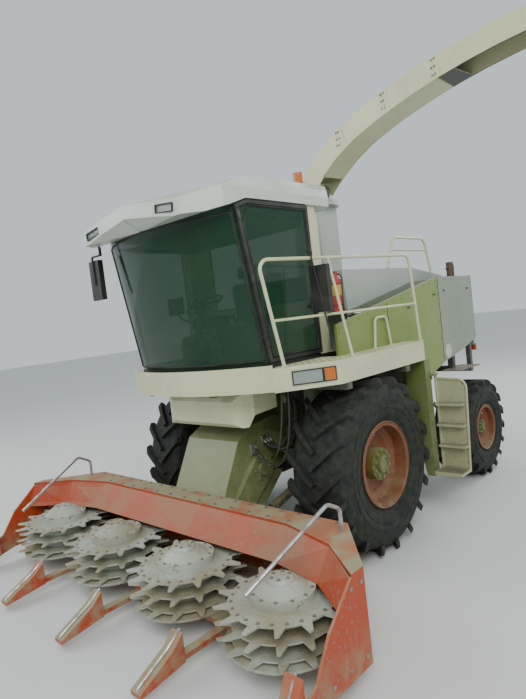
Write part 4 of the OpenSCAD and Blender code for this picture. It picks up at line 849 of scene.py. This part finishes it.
class HARVESTER_OT_tyre_rings(bpy.types.Operator):
    """Adds the moulded rings of the tyres' walls and the bead over the rim"""
    bl_idname = "harvester.tyre_rings"
    bl_label = "Tyre wall rings"

    def execute(self, context):
        for wheel, _, (x, y, z), measures in wheels():
            beads = [ring((x + side * half, y, z), (1, 0, 0), radius, thick, 96)
                     for radius, half, thick in measures["rings"] for side in (-1, 1)]
            settle(joined(beads), f"tyre_rings_{wheel}", "vulcanised_tyre_rubber", f"wheel_{wheel}", 60)
        return {"FINISHED"}


# Cab

# Each seal's name, the glass that it lies on, its body, the way to the glass, its steps and its corners
SEALS = (
    ("windscreen", "cab_glass", "machine", (0, 1, 0), 16,
     [(-976, -2500, 2122), (976, -2500, 2122), (976, -2500, 3470), (-976, -2500, 3470)]),
    ("right_window", "cab_glass", "machine", (1, 0, 0), 8,
     [(-2000, -998, 2120), (-2000, -1205, 3470), (-2000, -312, 3470), (-2000, -312, 2120)]),
    ("rear_window", "cab_glass", "machine", (0, -1, 0), 8,
     [(-745, 900, 2665), (745, 900, 2665), (745, 900, 3465), (-745, 900, 3465)]),
    ("door_window", "door_glass", "door", (-1, 0, 0), 8,
     [(2000, -1030, 2155), (2000, -1250, 3538), (2000, -338, 3538), (2000, -338, 2155)]),
)


def bead_on(name, corners, ahead, steps):
    """A rubber bead that lies on a solid along the sides between corners."""
    starts = []
    for i, corner in enumerate(corners):
        starts += between(corner, corners[(i + 1) % len(corners)], steps + 1)[:-1]
    found = landings(name, starts, ahead)
    if len(found) < len(starts) * 0.7:
        raise RuntimeError(f"{name}: a seal's line misses the glass")
    return tube([place.translation for place in found], sizes().seal * 500, True, 8)


class HARVESTER_OT_seals(bpy.types.Operator):
    """Adds the rubber seals round the cab's panes"""
    bl_idname = "harvester.seals"
    bl_label = "Window seals"

    def execute(self, context):
        for name, glass, body, ahead, steps, corners in SEALS:
            settle(bead_on(glass, corners, ahead, steps), f"{name}_seal", SEAL_RUBBER, body, 60)
        return {"FINISHED"}


class HARVESTER_OT_door_handle(bpy.types.Operator):
    """Adds the door's pull handle and its escutcheon"""
    bl_idname = "harvester.door_handle"
    bl_label = "Door handle"

    def execute(self, context):
        plate = dished(block((1026, -330, 2520), (1034, -298, 2700), 3), (1, 0, 0), 4, 3)
        grip = bar([(1034, -314, 2540), (1072, -314, 2548), (1072, -314, 2672), (1034, -314, 2680)], 22, 9)
        settle(joined([plate, grip]), "door_handle", PLASTIC, "door")
        return {"FINISHED"}


class HARVESTER_OT_cab_controls(bpy.types.Operator):
    """Adds the armrest console with its lever, the monitor, the pedals and the headliner"""
    bl_idname = "harvester.cab_controls"
    bl_label = "Cab controls"

    def execute(self, context):
        console = dished(block((-420, -760, 2470), (-312, -260, 2590), 16), (0, 0, 1), 14, 10)
        leg = block((-400, -420, 2268), (-332, -330, 2472), 10)
        lever = bar([(-366, -690, 2590), (-366, -700, 2650), (-352, -722, 2700)], 30, 11)
        grip = dished(block((-388, -756, 2690), (-326, -692, 2800), 20), (0, 0, 1), 10, 12)
        stalk = bar([(-400, -740, 2560), (-470, -860, 2600), (-500, -880, 2700)], 60, 12)
        shell = dished(block((-640, -900, 2660), (-380, -866, 2850), 10), (0, 1, 0), 12, -5)
        liner = dished(block((-930, -1180, 3440), (930, -120, 3466), 10), (0, 0, -1), 90, -10)
        made = [console, leg, lever, grip, stalk, shell, liner]
        for x in (-230, 150, 240):
            made.append(dished(block((x - 35, -1072, 2150), (x + 35, -1048, 2290), 8), (0, 1, 0), 8, 5))
            made.append(bar([(x, -1060, 2092), (x, -1060, 2160)], 0, 9))
        settle(joined(made), "cab_controls", PLASTIC)
        screen = dished(block((-626, -872, 2674), (-394, -868, 2836), 0), (0, 1, 0), 5, 2)
        settle(screen, "monitor_screen", "smoked_screen_glass")
        return {"FINISHED"}


# Seat

# How far a pad may swell, the grain of its mesh, both in metres, and the frames that it takes to swell
PAD_REACH = 0.014


PAD_GRAIN = 0.008
PAD_FRAMES = 20


def stuffed(pieces):
    """Foam under cloth: remeshed blocks that one short cloth run swells, capped so that none grows far."""
    for piece in pieces:
        apply(piece, "REMESH", mode="VOXEL", voxel_size=PAD_GRAIN)
    before = [[vertex.co.copy() for vertex in piece.data.vertices] for piece in pieces]
    for piece in pieces:
        cloth = piece.modifiers.new("cloth", "CLOTH")
        cloth.settings.use_pressure = True
        cloth.settings.uniform_pressure_force = 4
        cloth.settings.effector_weights.gravity = 0
        cloth.point_cache.frame_start = 1
        cloth.point_cache.frame_end = PAD_FRAMES
    for moment in range(1, PAD_FRAMES + 1):
        bpy.context.scene.frame_set(moment)
    for piece, old_places in zip(pieces, before):
        choose([piece])
        bpy.ops.object.modifier_apply(modifier="cloth")
        for vertex, old in zip(piece.data.vertices, old_places):
            away = vertex.co - old
            if away.length > PAD_REACH:
                vertex.co = old + away.normalized() * PAD_REACH
    bpy.context.scene.frame_set(1)
    for piece in pieces:
        apply(piece, "SUBSURF", levels=1, render_levels=1)


# Where the seams of cushion and back run across the machine, their depth and width, in millimetres
SEAMS = (-150, 150)
SEAM_DEPTH = 7
SEAM_WIDTH = 9


def sewn(piece, direction):
    """Presses the seams' channels into a pad's face that looks along a direction."""
    ahead = Vector(direction)
    looks = [vertex.normal.dot(ahead) > 0.3 for vertex in piece.data.vertices]
    lines = [spot(x, 0, 0).x for x in SEAMS]
    for vertex, seen in zip(piece.data.vertices, looks):
        if seen:
            gaps = [(vertex.co.x - line) * 1000 / SEAM_WIDTH for line in lines]
            vertex.co -= ahead * SEAM_DEPTH / 1000 * sum(math.exp(-gap * gap) for gap in gaps)


class HARVESTER_OT_seat(bpy.types.Operator):
    """Adds the driver's padded seat: cushion, back, headrest and armrests"""
    bl_idname = "harvester.seat"
    bl_label = "Driver's seat"

    def execute(self, context):
        pads = {
            "seat_cushion": block((-226, -626, 2364), (226, -204, 2464), 34),
            "seat_back": block((-216, -276, 2494), (216, -124, 2950), 40),
            "seat_headrest": block((-130, -250, 2990), (130, -150, 3130), 34),
            "armrest_left": block((252, -560, 2556), (296, -220, 2594), 16),
            "armrest_right": block((-296, -560, 2556), (-252, -220, 2594), 16),
        }
        stuffed(list(pads.values()))
        sewn(pads["seat_cushion"], (0, 0, 1))
        sewn(pads["seat_back"], (0, -1, 0))
        for name, piece in pads.items():
            settle(piece, name, "woven_seat_cloth" if "seat" in name else PLASTIC, smooth=60)
        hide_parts("operator_seat")
        made = [bar([(x, -200, 2940), (x, -200, 3010)], 0, 7) for x in (-60, 60)]
        made += [bar([(x, -200, 2470), (x, -230, 2560), (x, -420, 2566)], 60, 12) for x in (-262, 262)]
        base = block((-232, -636, 2340), (232, -180, 2372), 8)
        shell = block((-205, -150, 2400), (205, -118, 2900), 10)
        settle(joined(made + [base, shell]), "seat_frame", PLASTIC)
        return {"FINISHED"}


# Lamps

# Turns of the swept fascia about the vertical and of the visor about the machine's length, in degrees
FASCIA_TURN = 52.9
VISOR_TURN = 7.2


class HARVESTER_OT_lamp_bezels(bpy.types.Operator):
    """Adds the frames round the headlamps and roof lamps, the beacon's foot and the tail lamps"""
    bl_idname = "harvester.lamp_bezels"
    bl_label = "Lamp frames"

    def execute(self, context):
        back = Matrix.Translation(-AXLE)
        fascia = Matrix.Translation(spot(1100, -1150, 0)) @ Matrix.Rotation(math.radians(FASCIA_TURN), 4, "Z")
        visor = Matrix.Translation(spot(600, -1765, 3563)) @ Matrix.Rotation(math.radians(VISOR_TURN), 4, "Y")
        lamp = window_frame((170, -14, 1880), (466, -1, 2012), 11)
        turn = window_frame((467, -14, 1880), (590, -1, 2012), 9)
        swept = copies(joined([lamp, turn]), [fascia @ back])
        roof = copies(window_frame((-124, 6, -40), (124, 26, 40), 12), [visor @ back])
        bezels = both_sides(joined([swept, roof]))
        foot = dished(disc((700, 40, 3897), (0, 0, 1), 74, 16, 40), (0, 0, 1), 8, 5)
        settle(joined([bezels, foot]), "lamp_bezels", PLASTIC)
        for finish, low, high in (("red", 1100, 1190), ("amber", 1192, 1226)):
            piece = dished(block((low, 3066, 1700), (high, 3086, 1800), 6), (0, 1, 0), 5, 4)
            settle(both_sides(piece), f"tail_lamps_{finish}", f"{finish}_fluted_lens")
        return {"FINISHED"}


# Body

# Each panel's finish and its rows of screws on the left, as two ends and how many
SCREW_ROWS = {
    "side_panels": ("seed_green_two_pack_enamel", (
        ((1700, -262, 2330), (1700, 1960, 2735), 13), ((1700, -262, 2100), (1700, -262, 2280), 3),
        ((1700, 1965, 1540), (1700, 1965, 2660), 6), ((1700, 640, 2110), (1700, 640, 2440), 4))),
    "rear_panels": ("stone_grey_two_pack_enamel", (
        ((1700, 2045, 1720), (1700, 2045, 2700), 6), ((1700, 2045, 2745), (1700, 3010, 2745), 6),
        ((1700, 3020, 1760), (1700, 3020, 2680), 6))),
}


class HARVESTER_OT_panel_screws(bpy.types.Operator):
    """Adds the screws along the edges of the side and rear panels"""
    bl_idname = "harvester.panel_screws"
    bl_label = "Panel screws"

    def execute(self, context):
        for name, (finish, rows) in SCREW_ROWS.items():
            starts = [start for row in rows for start in between(*row)]
            places = landings(name, starts, (-1, 0, 0))
            places += landings(name, [(-x, y, z) for x, y, z in starts], (1, 0, 0))
            settle(copies(pan_screw(0.020, 0.005), places), f"{name}_screws", finish)
        return {"FINISHED"}


class HARVESTER_OT_latches(bpy.types.Operator):
    """Adds the recessed latches of the side panels and the dark seams between them"""
    bl_idname = "harvester.latches"
    bl_label = "Panel latches and seams"

    def execute(self, context):
        for name, finish, places in (("side", "seed_green", ((1180, 2440), (1870, 2560))),
                                     ("rear", "stone_grey", ((2160, 2600), (2900, 2600)))):
            plates = [dished(block((1235, y - 42, z - 20), (1241, y + 42, z + 20), 3), (1, 0, 0), 6, -4)
                      for y, z in places]
            paddles = [block((1236, y - 24, z - 8), (1243, y + 24, z + 8), 3) for y, z in places]
            settle(both_sides(joined(plates)), f"{name}_latch_plates", f"{finish}_two_pack_enamel")
            settle(both_sides(joined(paddles)), f"{name}_latch_paddles", PLASTIC)
        seams = [block((1234, y - 4, low), (1238.5, y + 4, high), 1)
                 for y, low, high in ((700, 2058, 2520), (2003, 1700, 2770))]
        settle(both_sides(joined(seams)), "panel_seams", SEAL_RUBBER)
        return {"FINISHED"}


# The tread's first bar and its spacing in millimetres, its rows and columns, and the deck's height in metres
TREAD_START = (1075, -1080, 2500)
TREAD_STEP = 46
TREAD_ROWS = 44
TREAD_COLUMNS = 9
DECK_HEIGHT = 2.056


class HARVESTER_OT_deck_tread(bpy.types.Operator):
    """Adds the raised tread bars of the walkway plates"""
    bl_idname = "harvester.deck_tread"
    bl_label = "Deck tread"

    def execute(self, context):
        rib = block((-15, -4, -1), (15, 4, 2.4), 0)
        pick(rib, facing((0, 0, 1)))
        bpy.ops.transform.resize(value=(0.72, 0.4, 1))
        close()
        rib.data.transform(Matrix.Translation(-AXLE))
        places = []
        for row in range(TREAD_ROWS):
            for column in range(TREAD_COLUMNS):
                start = Vector(TREAD_START) + Vector((column, row, 0)) * TREAD_STEP
                place = landed("platforms", start, (0, 0, -1))
                if place is not None and abs(place.translation.z - DECK_HEIGHT) < 0.003:
                    turn = Matrix.Rotation(math.radians(45 if (row + column) % 2 else -45), 4, "Z")
                    places.append(Matrix.Translation(place.translation) @ turn)
        settle(both_sides(copies(rib, places)), "deck_tread", "cream_two_pack_enamel", smooth=20)
        return {"FINISHED"}


class HARVESTER_OT_mirror_glass(bpy.types.Operator):
    """Adds the mirrors' silvered glasses in their beaded edges"""
    bl_idname = "harvester.mirror_glass"
    bl_label = "Mirror glasses"

    def execute(self, context):
        panes = [dished(block((x - 88, y - 1, z - 205), (x + 88, y + 3, z + 205), 1.5), (0, 1, 0), 6, -1)
                 for x, y, z in ((-1140, -1414, 3150), (1320.4, -559.4, 2730))]
        settle(joined(panes), "mirror_glasses", "silvered_mirror_glass")
        return {"FINISHED"}


# The line of the extinguisher's hose, from its head down to its nozzle
EXTINGUISHER_HOSE = (
    (1098, -5, 2878), (1128, -8, 2878), (1150, -12, 2866), (1160, -14, 2842), (1163, -16, 2812),
    (1163, -18, 2780), (1161, -19, 2750), (1159, -19, 2720), (1157, -18, 2690), (1155, -17, 2660),
    (1154, -16, 2630), (1153, -15, 2600), (1152, -14, 2575), (1152, -13, 2555), (1152, -12, 2540),
)


class HARVESTER_OT_extinguisher_trim(bpy.types.Operator):
    """Adds the extinguisher's lever, gauge, hose, strap and bare label"""
    bl_idname = "harvester.extinguisher_trim"
    bl_label = "Extinguisher trim"

    def execute(self, context):
        head = block((1062, -26, 2862), (1098, 18, 2896), 6)
        lever = block((1068, -92, 2894), (1092, 12, 2904), 4)
        pick(lever, lambda middle, normal: middle.y < spot(0, -70, 0).y)
        bpy.ops.transform.translate(value=(0, 0, 0.012))
        close()
        strap = [ring((1080, -5, z), (0, 0, 1), 61.5, 4, 48) for z in (2560, 2780)]
        settle(joined([head, lever] + strap), "extinguisher_head", PLASTIC)
        gauge = dished(disc((1080, -32, 2876), (0, -1, 0), 13, 10, 20, 1), (0, -1, 0), 2.5, -2)
        settle(gauge, "extinguisher_gauge", ZINC)
        wrap = disc((1080, -5, 2715), (0, 0, 1), 61, 110, 64, 0)
        middle = spot(1080, -5, 0)
        pick(wrap, lambda at, normal: abs(normal.z) > 0.9 or (at.x - middle.x) - (at.y - middle.y) < 0.018)
        bpy.ops.mesh.delete(type="FACE")
        close()
        settle(apply(wrap, "SOLIDIFY", thickness=0.0008, offset=0), "extinguisher_label", "bare_yellow_label")
        route = [spot(*place) for place in EXTINGUISHER_HOSE]
        hose = settle(tube(route, 7), "extinguisher_hose", "hydraulic_hose_rubber", smooth=60)
        nozzle = settle(disc((1152, -12, 2520), (0, 0, 1), 11, 44, 20, 2), "extinguisher_nozzle", PLASTIC)
        settle(block((1136, -24, 2556), (1158, -4, 2566), 2), "extinguisher_clip", PLASTIC)
        return {"FINISHED"}


class HARVESTER_OT_exhaust_trim(bpy.types.Operator):
    """Adds the exhaust's clamps and rolled mouth"""
    bl_idname = "harvester.exhaust_trim"
    bl_label = "Exhaust clamps"

    def execute(self, context):
        made = [ring((1080, 2770, 2985), (0, 0, 1), 51, 4, 48)]
        for z in (2640, 2900):
            band = disc((1080, 2770, z), (0, 0, 1), 56, 24, 48, 2)
            made += [band, block((1040, 2700, z - 10), (1060, 2726, z + 10), 2)]
        settle(joined(made), "exhaust_clamps", "heat_browned_steel")
        return {"FINISHED"}


class HARVESTER_OT_round_plate(bpy.types.Operator):
    """Adds the bare round plate on the rear panel"""
    bl_idname = "harvester.round_plate"
    bl_label = "Round plate"

    def execute(self, context):
        plate = dished(disc((1238, 2150, 1800), (1, 0, 0), 95, 4, 48, 1), (1, 0, 0), 9, -1)
        settle(plate, "round_plate", "bare_cream_vinyl")
        return {"FINISHED"}


class HARVESTER_OT_ladder_treads(bpy.types.Operator):
    """Adds the raised studs of the ladder's treads"""
    bl_idname = "harvester.ladder_treads"
    bl_label = "Ladder treads"

    def execute(self, context):
        places = []
        for z in (1300, 1060, 820, 560):
            for y in (900, 940, 980, 1020, 1060, 1100):
                places += landings("ladder", between((1560, y, z + 90), (1836, y, z + 90), 9), (0, 0, -1))
        flat = [place for place in places if abs(place.col[0].z) > 0.9]
        settle(copies(pan_screw(0.020, 0.005), flat), "ladder_studs", ZINC, "ladder")
        return {"FINISHED"}


# Spout

# The spout's turn in plan, the two slopes and two radii of its upper line and that line's lowest height
SPOUT_TURN = math.radians(-8)


SPOUT_RISE = math.radians(41.8)
SPOUT_BEND = math.radians(14)
SPOUT_RADII = (2360, 7000)
SPOUT_LOW = 4215


def along_spout(s, across, z):
    """A place s along the spout's plan line, across it and at a height."""
    c, n = math.cos(SPOUT_TURN), math.sin(SPOUT_TURN)
    return (s * c - across * n, 1200 + s * n + across * c, z)


def spout_line(s):
    """The height of the spout's upper line at a distance along its plan."""
    tight, wide = SPOUT_RADII
    reach = tight * (math.sin(SPOUT_RISE) - math.sin(SPOUT_BEND))
    if s < reach:
        turn = math.asin(math.sin(SPOUT_RISE) - s / tight)
        return SPOUT_LOW + tight * (math.cos(turn) - math.cos(SPOUT_RISE))
    rise = SPOUT_LOW + tight * (math.cos(SPOUT_BEND) - math.cos(SPOUT_RISE))
    turn = math.asin(math.sin(SPOUT_BEND) - (s - reach) / wide)
    return rise + wide * (math.cos(turn) - math.cos(SPOUT_BEND))


class HARVESTER_OT_spout_trim(bpy.types.Operator):
    """Adds the bolts of the spout's bands and turntable, and the pipes along its side"""
    bl_idname = "harvester.spout_trim"
    bl_label = "Spout bolts and pipes"

    def execute(self, context):
        places = []
        for side in (-1, 1):
            aim = Vector(along_spout(0, -side, 0)) - Vector(along_spout(0, 0, 0))
            starts = [along_spout(s + step, side * 500, spout_line(s) + lift)
                      for s in (700, 1400, 2050) for step in (-20, 20) for lift in (-180, -105, -30)]
            places += landings("spout", starts, aim)
        settle(copies(hex_bolt(0.018, 0.008), places), "spout_bolts", ZINC, "spout", 30)
        turns = landings("spout_turntable", around((0, 1200, 4180), 300, 16), (0, 0, -1))
        settle(copies(hex_bolt(0.026, 0.012), turns), "turntable_bolts", ZINC, "spout_turret", 30)
        pipes = []
        for lift in (-112, -144):
            reaches = (420 + 3060 * k / 24 for k in range(25))
            starts = [along_spout(s, 500, spout_line(s) + lift) for s in reaches]
            pipes.append(tube([place.translation + Vector((0, 0.012, 0))
                               for place in landings("spout", starts, (0, -1, 0))], 8))
        clips = []
        starts = [along_spout(s, 500, spout_line(s) - 128) for s in (560, 1050, 1700, 2400, 3100)]
        for place in landings("spout", starts, (0, -1, 0)):
            x, y, z = (place.translation - AXLE) * 1000
            clips.append(block((x - 14, y - 2, z - 34), (x + 14, y + 24, z + 34), 4))
        settle(joined(pipes), "spout_pipes", ZINC, "spout", 60)
        settle(joined(clips), "spout_pipe_clips", PLASTIC, "spout")
        return {"FINISHED"}


# Header

class HARVESTER_OT_header_bolts(bpy.types.Operator):
    """Adds the bolts of the header's band, end walls and drive covers"""
    bl_idname = "harvester.header_bolts"
    bl_label = "Header bolts"

    def execute(self, context):
        band = between((-1780, -1330, 1500), (1780, -1330, 1500), 19)
        band += between((-1380, -1480, 1500), (1380, -1480, 1500), 13)
        places = landings("header_hoods", band, (0, 0, -1))
        walls = []
        for sign in (-1, 1):
            aim = (-sign, 0, 0)
            rows = between((3000 * sign, -2640, 230), (3000 * sign, -1900, 230), 5)
            rows += between((3000 * sign, -2120, 730), (3000 * sign, -1880, 730), 3)
            walls += landings("header_hoods", rows, aim)
            for y, z, radius in ((-760, 960, 112), (-1120, 640, 88)):
                places += landings("feeder_housing", around((700 * sign, y, z), radius, 6, "X"), aim)
        bolts = [copies(hex_bolt(0.024, 0.010), places), copies(pan_screw(0.030, 0.004), walls)]
        settle(joined(bolts), "header_bolts", ZINC, "header", 30)
        return {"FINISHED"}


class HARVESTER_OT_divider_bars(bpy.types.Operator):
    """Adds the bright wear bars over the dividers' noses"""
    bl_idname = "harvester.divider_bars"
    bl_label = "Divider wear bars"

    def execute(self, context):
        made = []
        for x, high, middle, low in ((-1130, 332, 244, 104), (0, 332, 244, 104), (1130, 332, 244, 104),
                                     (-2260, 428, 264, 108), (2260, 428, 264, 108)):
            made.append(bar([(x, -2500, high), (x, -2620, middle), (x, -2900, low), (x, -2908, 84)], 40, 11))
        settle(joined(made), "divider_bars", "crop_polished_steel", "header", 60)
        return {"FINISHED"}


# Where each drum's axis stands across the machine, and its circles of bolts as how many and their radius
DRUMS = {"drum_left_outer": 1695, "drum_left_inner": 565, "drum_right_inner": -565, "drum_right_outer": -1695}


DRUM_CIRCLES = ((6, 70), (12, 225), (24, 385))


class HARVESTER_OT_drum_bolts(bpy.types.Operator):
    """Adds the rivets of the drums' toothed discs and the bolts of their caps"""
    bl_idname = "harvester.drum_bolts"
    bl_label = "Drum bolts"

    def execute(self, context):
        for name, x in DRUMS.items():
            places = []
            for count, away in DRUM_CIRCLES:
                places += landings(name, around((x, -1960, 900), away, count), (0, 0, -1))
            settle(copies(hex_bolt(0.020, 0.008), places), f"{name}_bolts", ZINC, name, 30)
        return {"FINISHED"}


# Hoses

def bent_line(a, b, c, d, count=26):
    """Points of one smooth curve from a to d, pulled by b and c."""
    a, b, c, d = (spot(*p) for p in (a, b, c, d))
    found = []
    for k in range(count):
        t = k / (count - 1)
        u = 1 - t
        found.append(a * u ** 3 + b * (3 * u * u * t) + c * (3 * u * t * t) + d * t ** 3)
    return found


class HARVESTER_OT_intake_hoses(bpy.types.Operator):
    """Adds the hydraulic hoses that loop from the machine to the feeder housing"""
    bl_idname = "harvester.intake_hoses"
    bl_label = "Intake hoses"

    def execute(self, context):
        fittings = (
            ("hose_manifold", "machine", (400, -290, 1560), (446, -110, 1660), (1, 0, 0)),
            ("deck_hose_block", "machine", (1000, -1030, 2014), (1120, -910, 2032), (0, 0, -1)),
            ("feeder_hose_plate", "header", (389, -690, 1170), (404, -540, 1290), (1, 0, 0)),
            ("feeder_hose_block", "header", (389, -870, 1120), (404, -760, 1240), (1, 0, 0)),
        )
        for name, body, low, high, out in fittings:
            settle(dished(block(low, high, 4), out, 9, 5), name, ZINC, body)
        thick, thin = sizes().hose, sizes().hose * 0.6
        runs = (
            (thick, (450, -150, 1612), (760, -190, 1560), (760, -530, 760), (412, -570, 1232)),
            (thick, (450, -200, 1612), (700, -240, 1560), (700, -575, 860), (412, -615, 1232)),
            (thick, (450, -250, 1612), (640, -290, 1560), (640, -620, 930), (412, -660, 1232)),
            (thin, (1085, -955, 2010), (1140, -1010, 1200), (900, -980, 860), (410, -795, 1200)),
            (thin, (1035, -985, 2010), (1060, -1040, 1300), (860, -1010, 930), (410, -835, 1160)),
        )
        for number, (across, *bends) in enumerate(runs, 1):
            route = bent_line(*bends)
            hose = settle(tube(route, across * 500, sides=16), f"intake_hose_{number}",
                          "hydraulic_hose_rubber", None, 60)
            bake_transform(hose)
            for name, at, aim, body in (("upper", route[0], route[1], "machine"),
                                        ("lower", route[-1], route[-2], "header")):
                ahead = (aim - at).normalized()
                collar = disc((at + ahead * 0.012 - AXLE) * 1000, ahead, across * 500 + 5, 40, 6, 2)
                settle(collar, f"hose_collar_{number}_{name}", ZINC, body)
        return {"FINISHED"}


# Panel and running

class HARVESTER_PT_panel(bpy.types.Panel):
    """Lists the harvester's pieces"""
    bl_idname = "HARVESTER_PT_panel"
    bl_label = "Forage harvester"
    bl_space_type = "VIEW_3D"
    bl_region_type = "UI"
    bl_category = "Harvester"

    def draw(self, context):
        for operator in OPERATORS:
            self.layout.operator(operator.bl_idname)
        for group in (context.scene.harvester_sizes, context.scene.harvester_paints):
            for name in group.__annotations__:
                self.layout.prop(group, name)


OPERATORS = (
    HARVESTER_OT_stage, HARVESTER_OT_finishes, HARVESTER_OT_intake_hoses, HARVESTER_OT_wheel_bolts,
    HARVESTER_OT_hub_caps, HARVESTER_OT_valves, HARVESTER_OT_tyre_rings, HARVESTER_OT_seals,
    HARVESTER_OT_door_handle, HARVESTER_OT_cab_controls, HARVESTER_OT_seat, HARVESTER_OT_lamp_bezels,
    HARVESTER_OT_panel_screws, HARVESTER_OT_latches, HARVESTER_OT_deck_tread, HARVESTER_OT_mirror_glass,
    HARVESTER_OT_extinguisher_trim, HARVESTER_OT_exhaust_trim, HARVESTER_OT_round_plate,
    HARVESTER_OT_ladder_treads, HARVESTER_OT_spout_trim, HARVESTER_OT_header_bolts,
    HARVESTER_OT_divider_bars, HARVESTER_OT_drum_bolts,
)
CLASSES = (HarvesterPaints, HarvesterSizes) + OPERATORS + (HARVESTER_PT_panel,)


def register():
    """Makes the classes and the scene's settings known to Blender."""
    for item in CLASSES:
        bpy.utils.register_class(item)
    bpy.types.Scene.harvester_paints = PointerProperty(type=HarvesterPaints)
    bpy.types.Scene.harvester_sizes = PointerProperty(type=HarvesterSizes)


def unregister():
    """Takes them out again."""
    del bpy.types.Scene.harvester_sizes
    del bpy.types.Scene.harvester_paints
    for item in reversed(CLASSES):
        bpy.utils.unregister_class(item)


def main():
    """Runs every operator in order."""
    register()
    for operator in OPERATORS:
        group, name = operator.bl_idname.split(".")
        getattr(getattr(bpy.ops, group), name)()


if __name__ == "__main__":
    main()
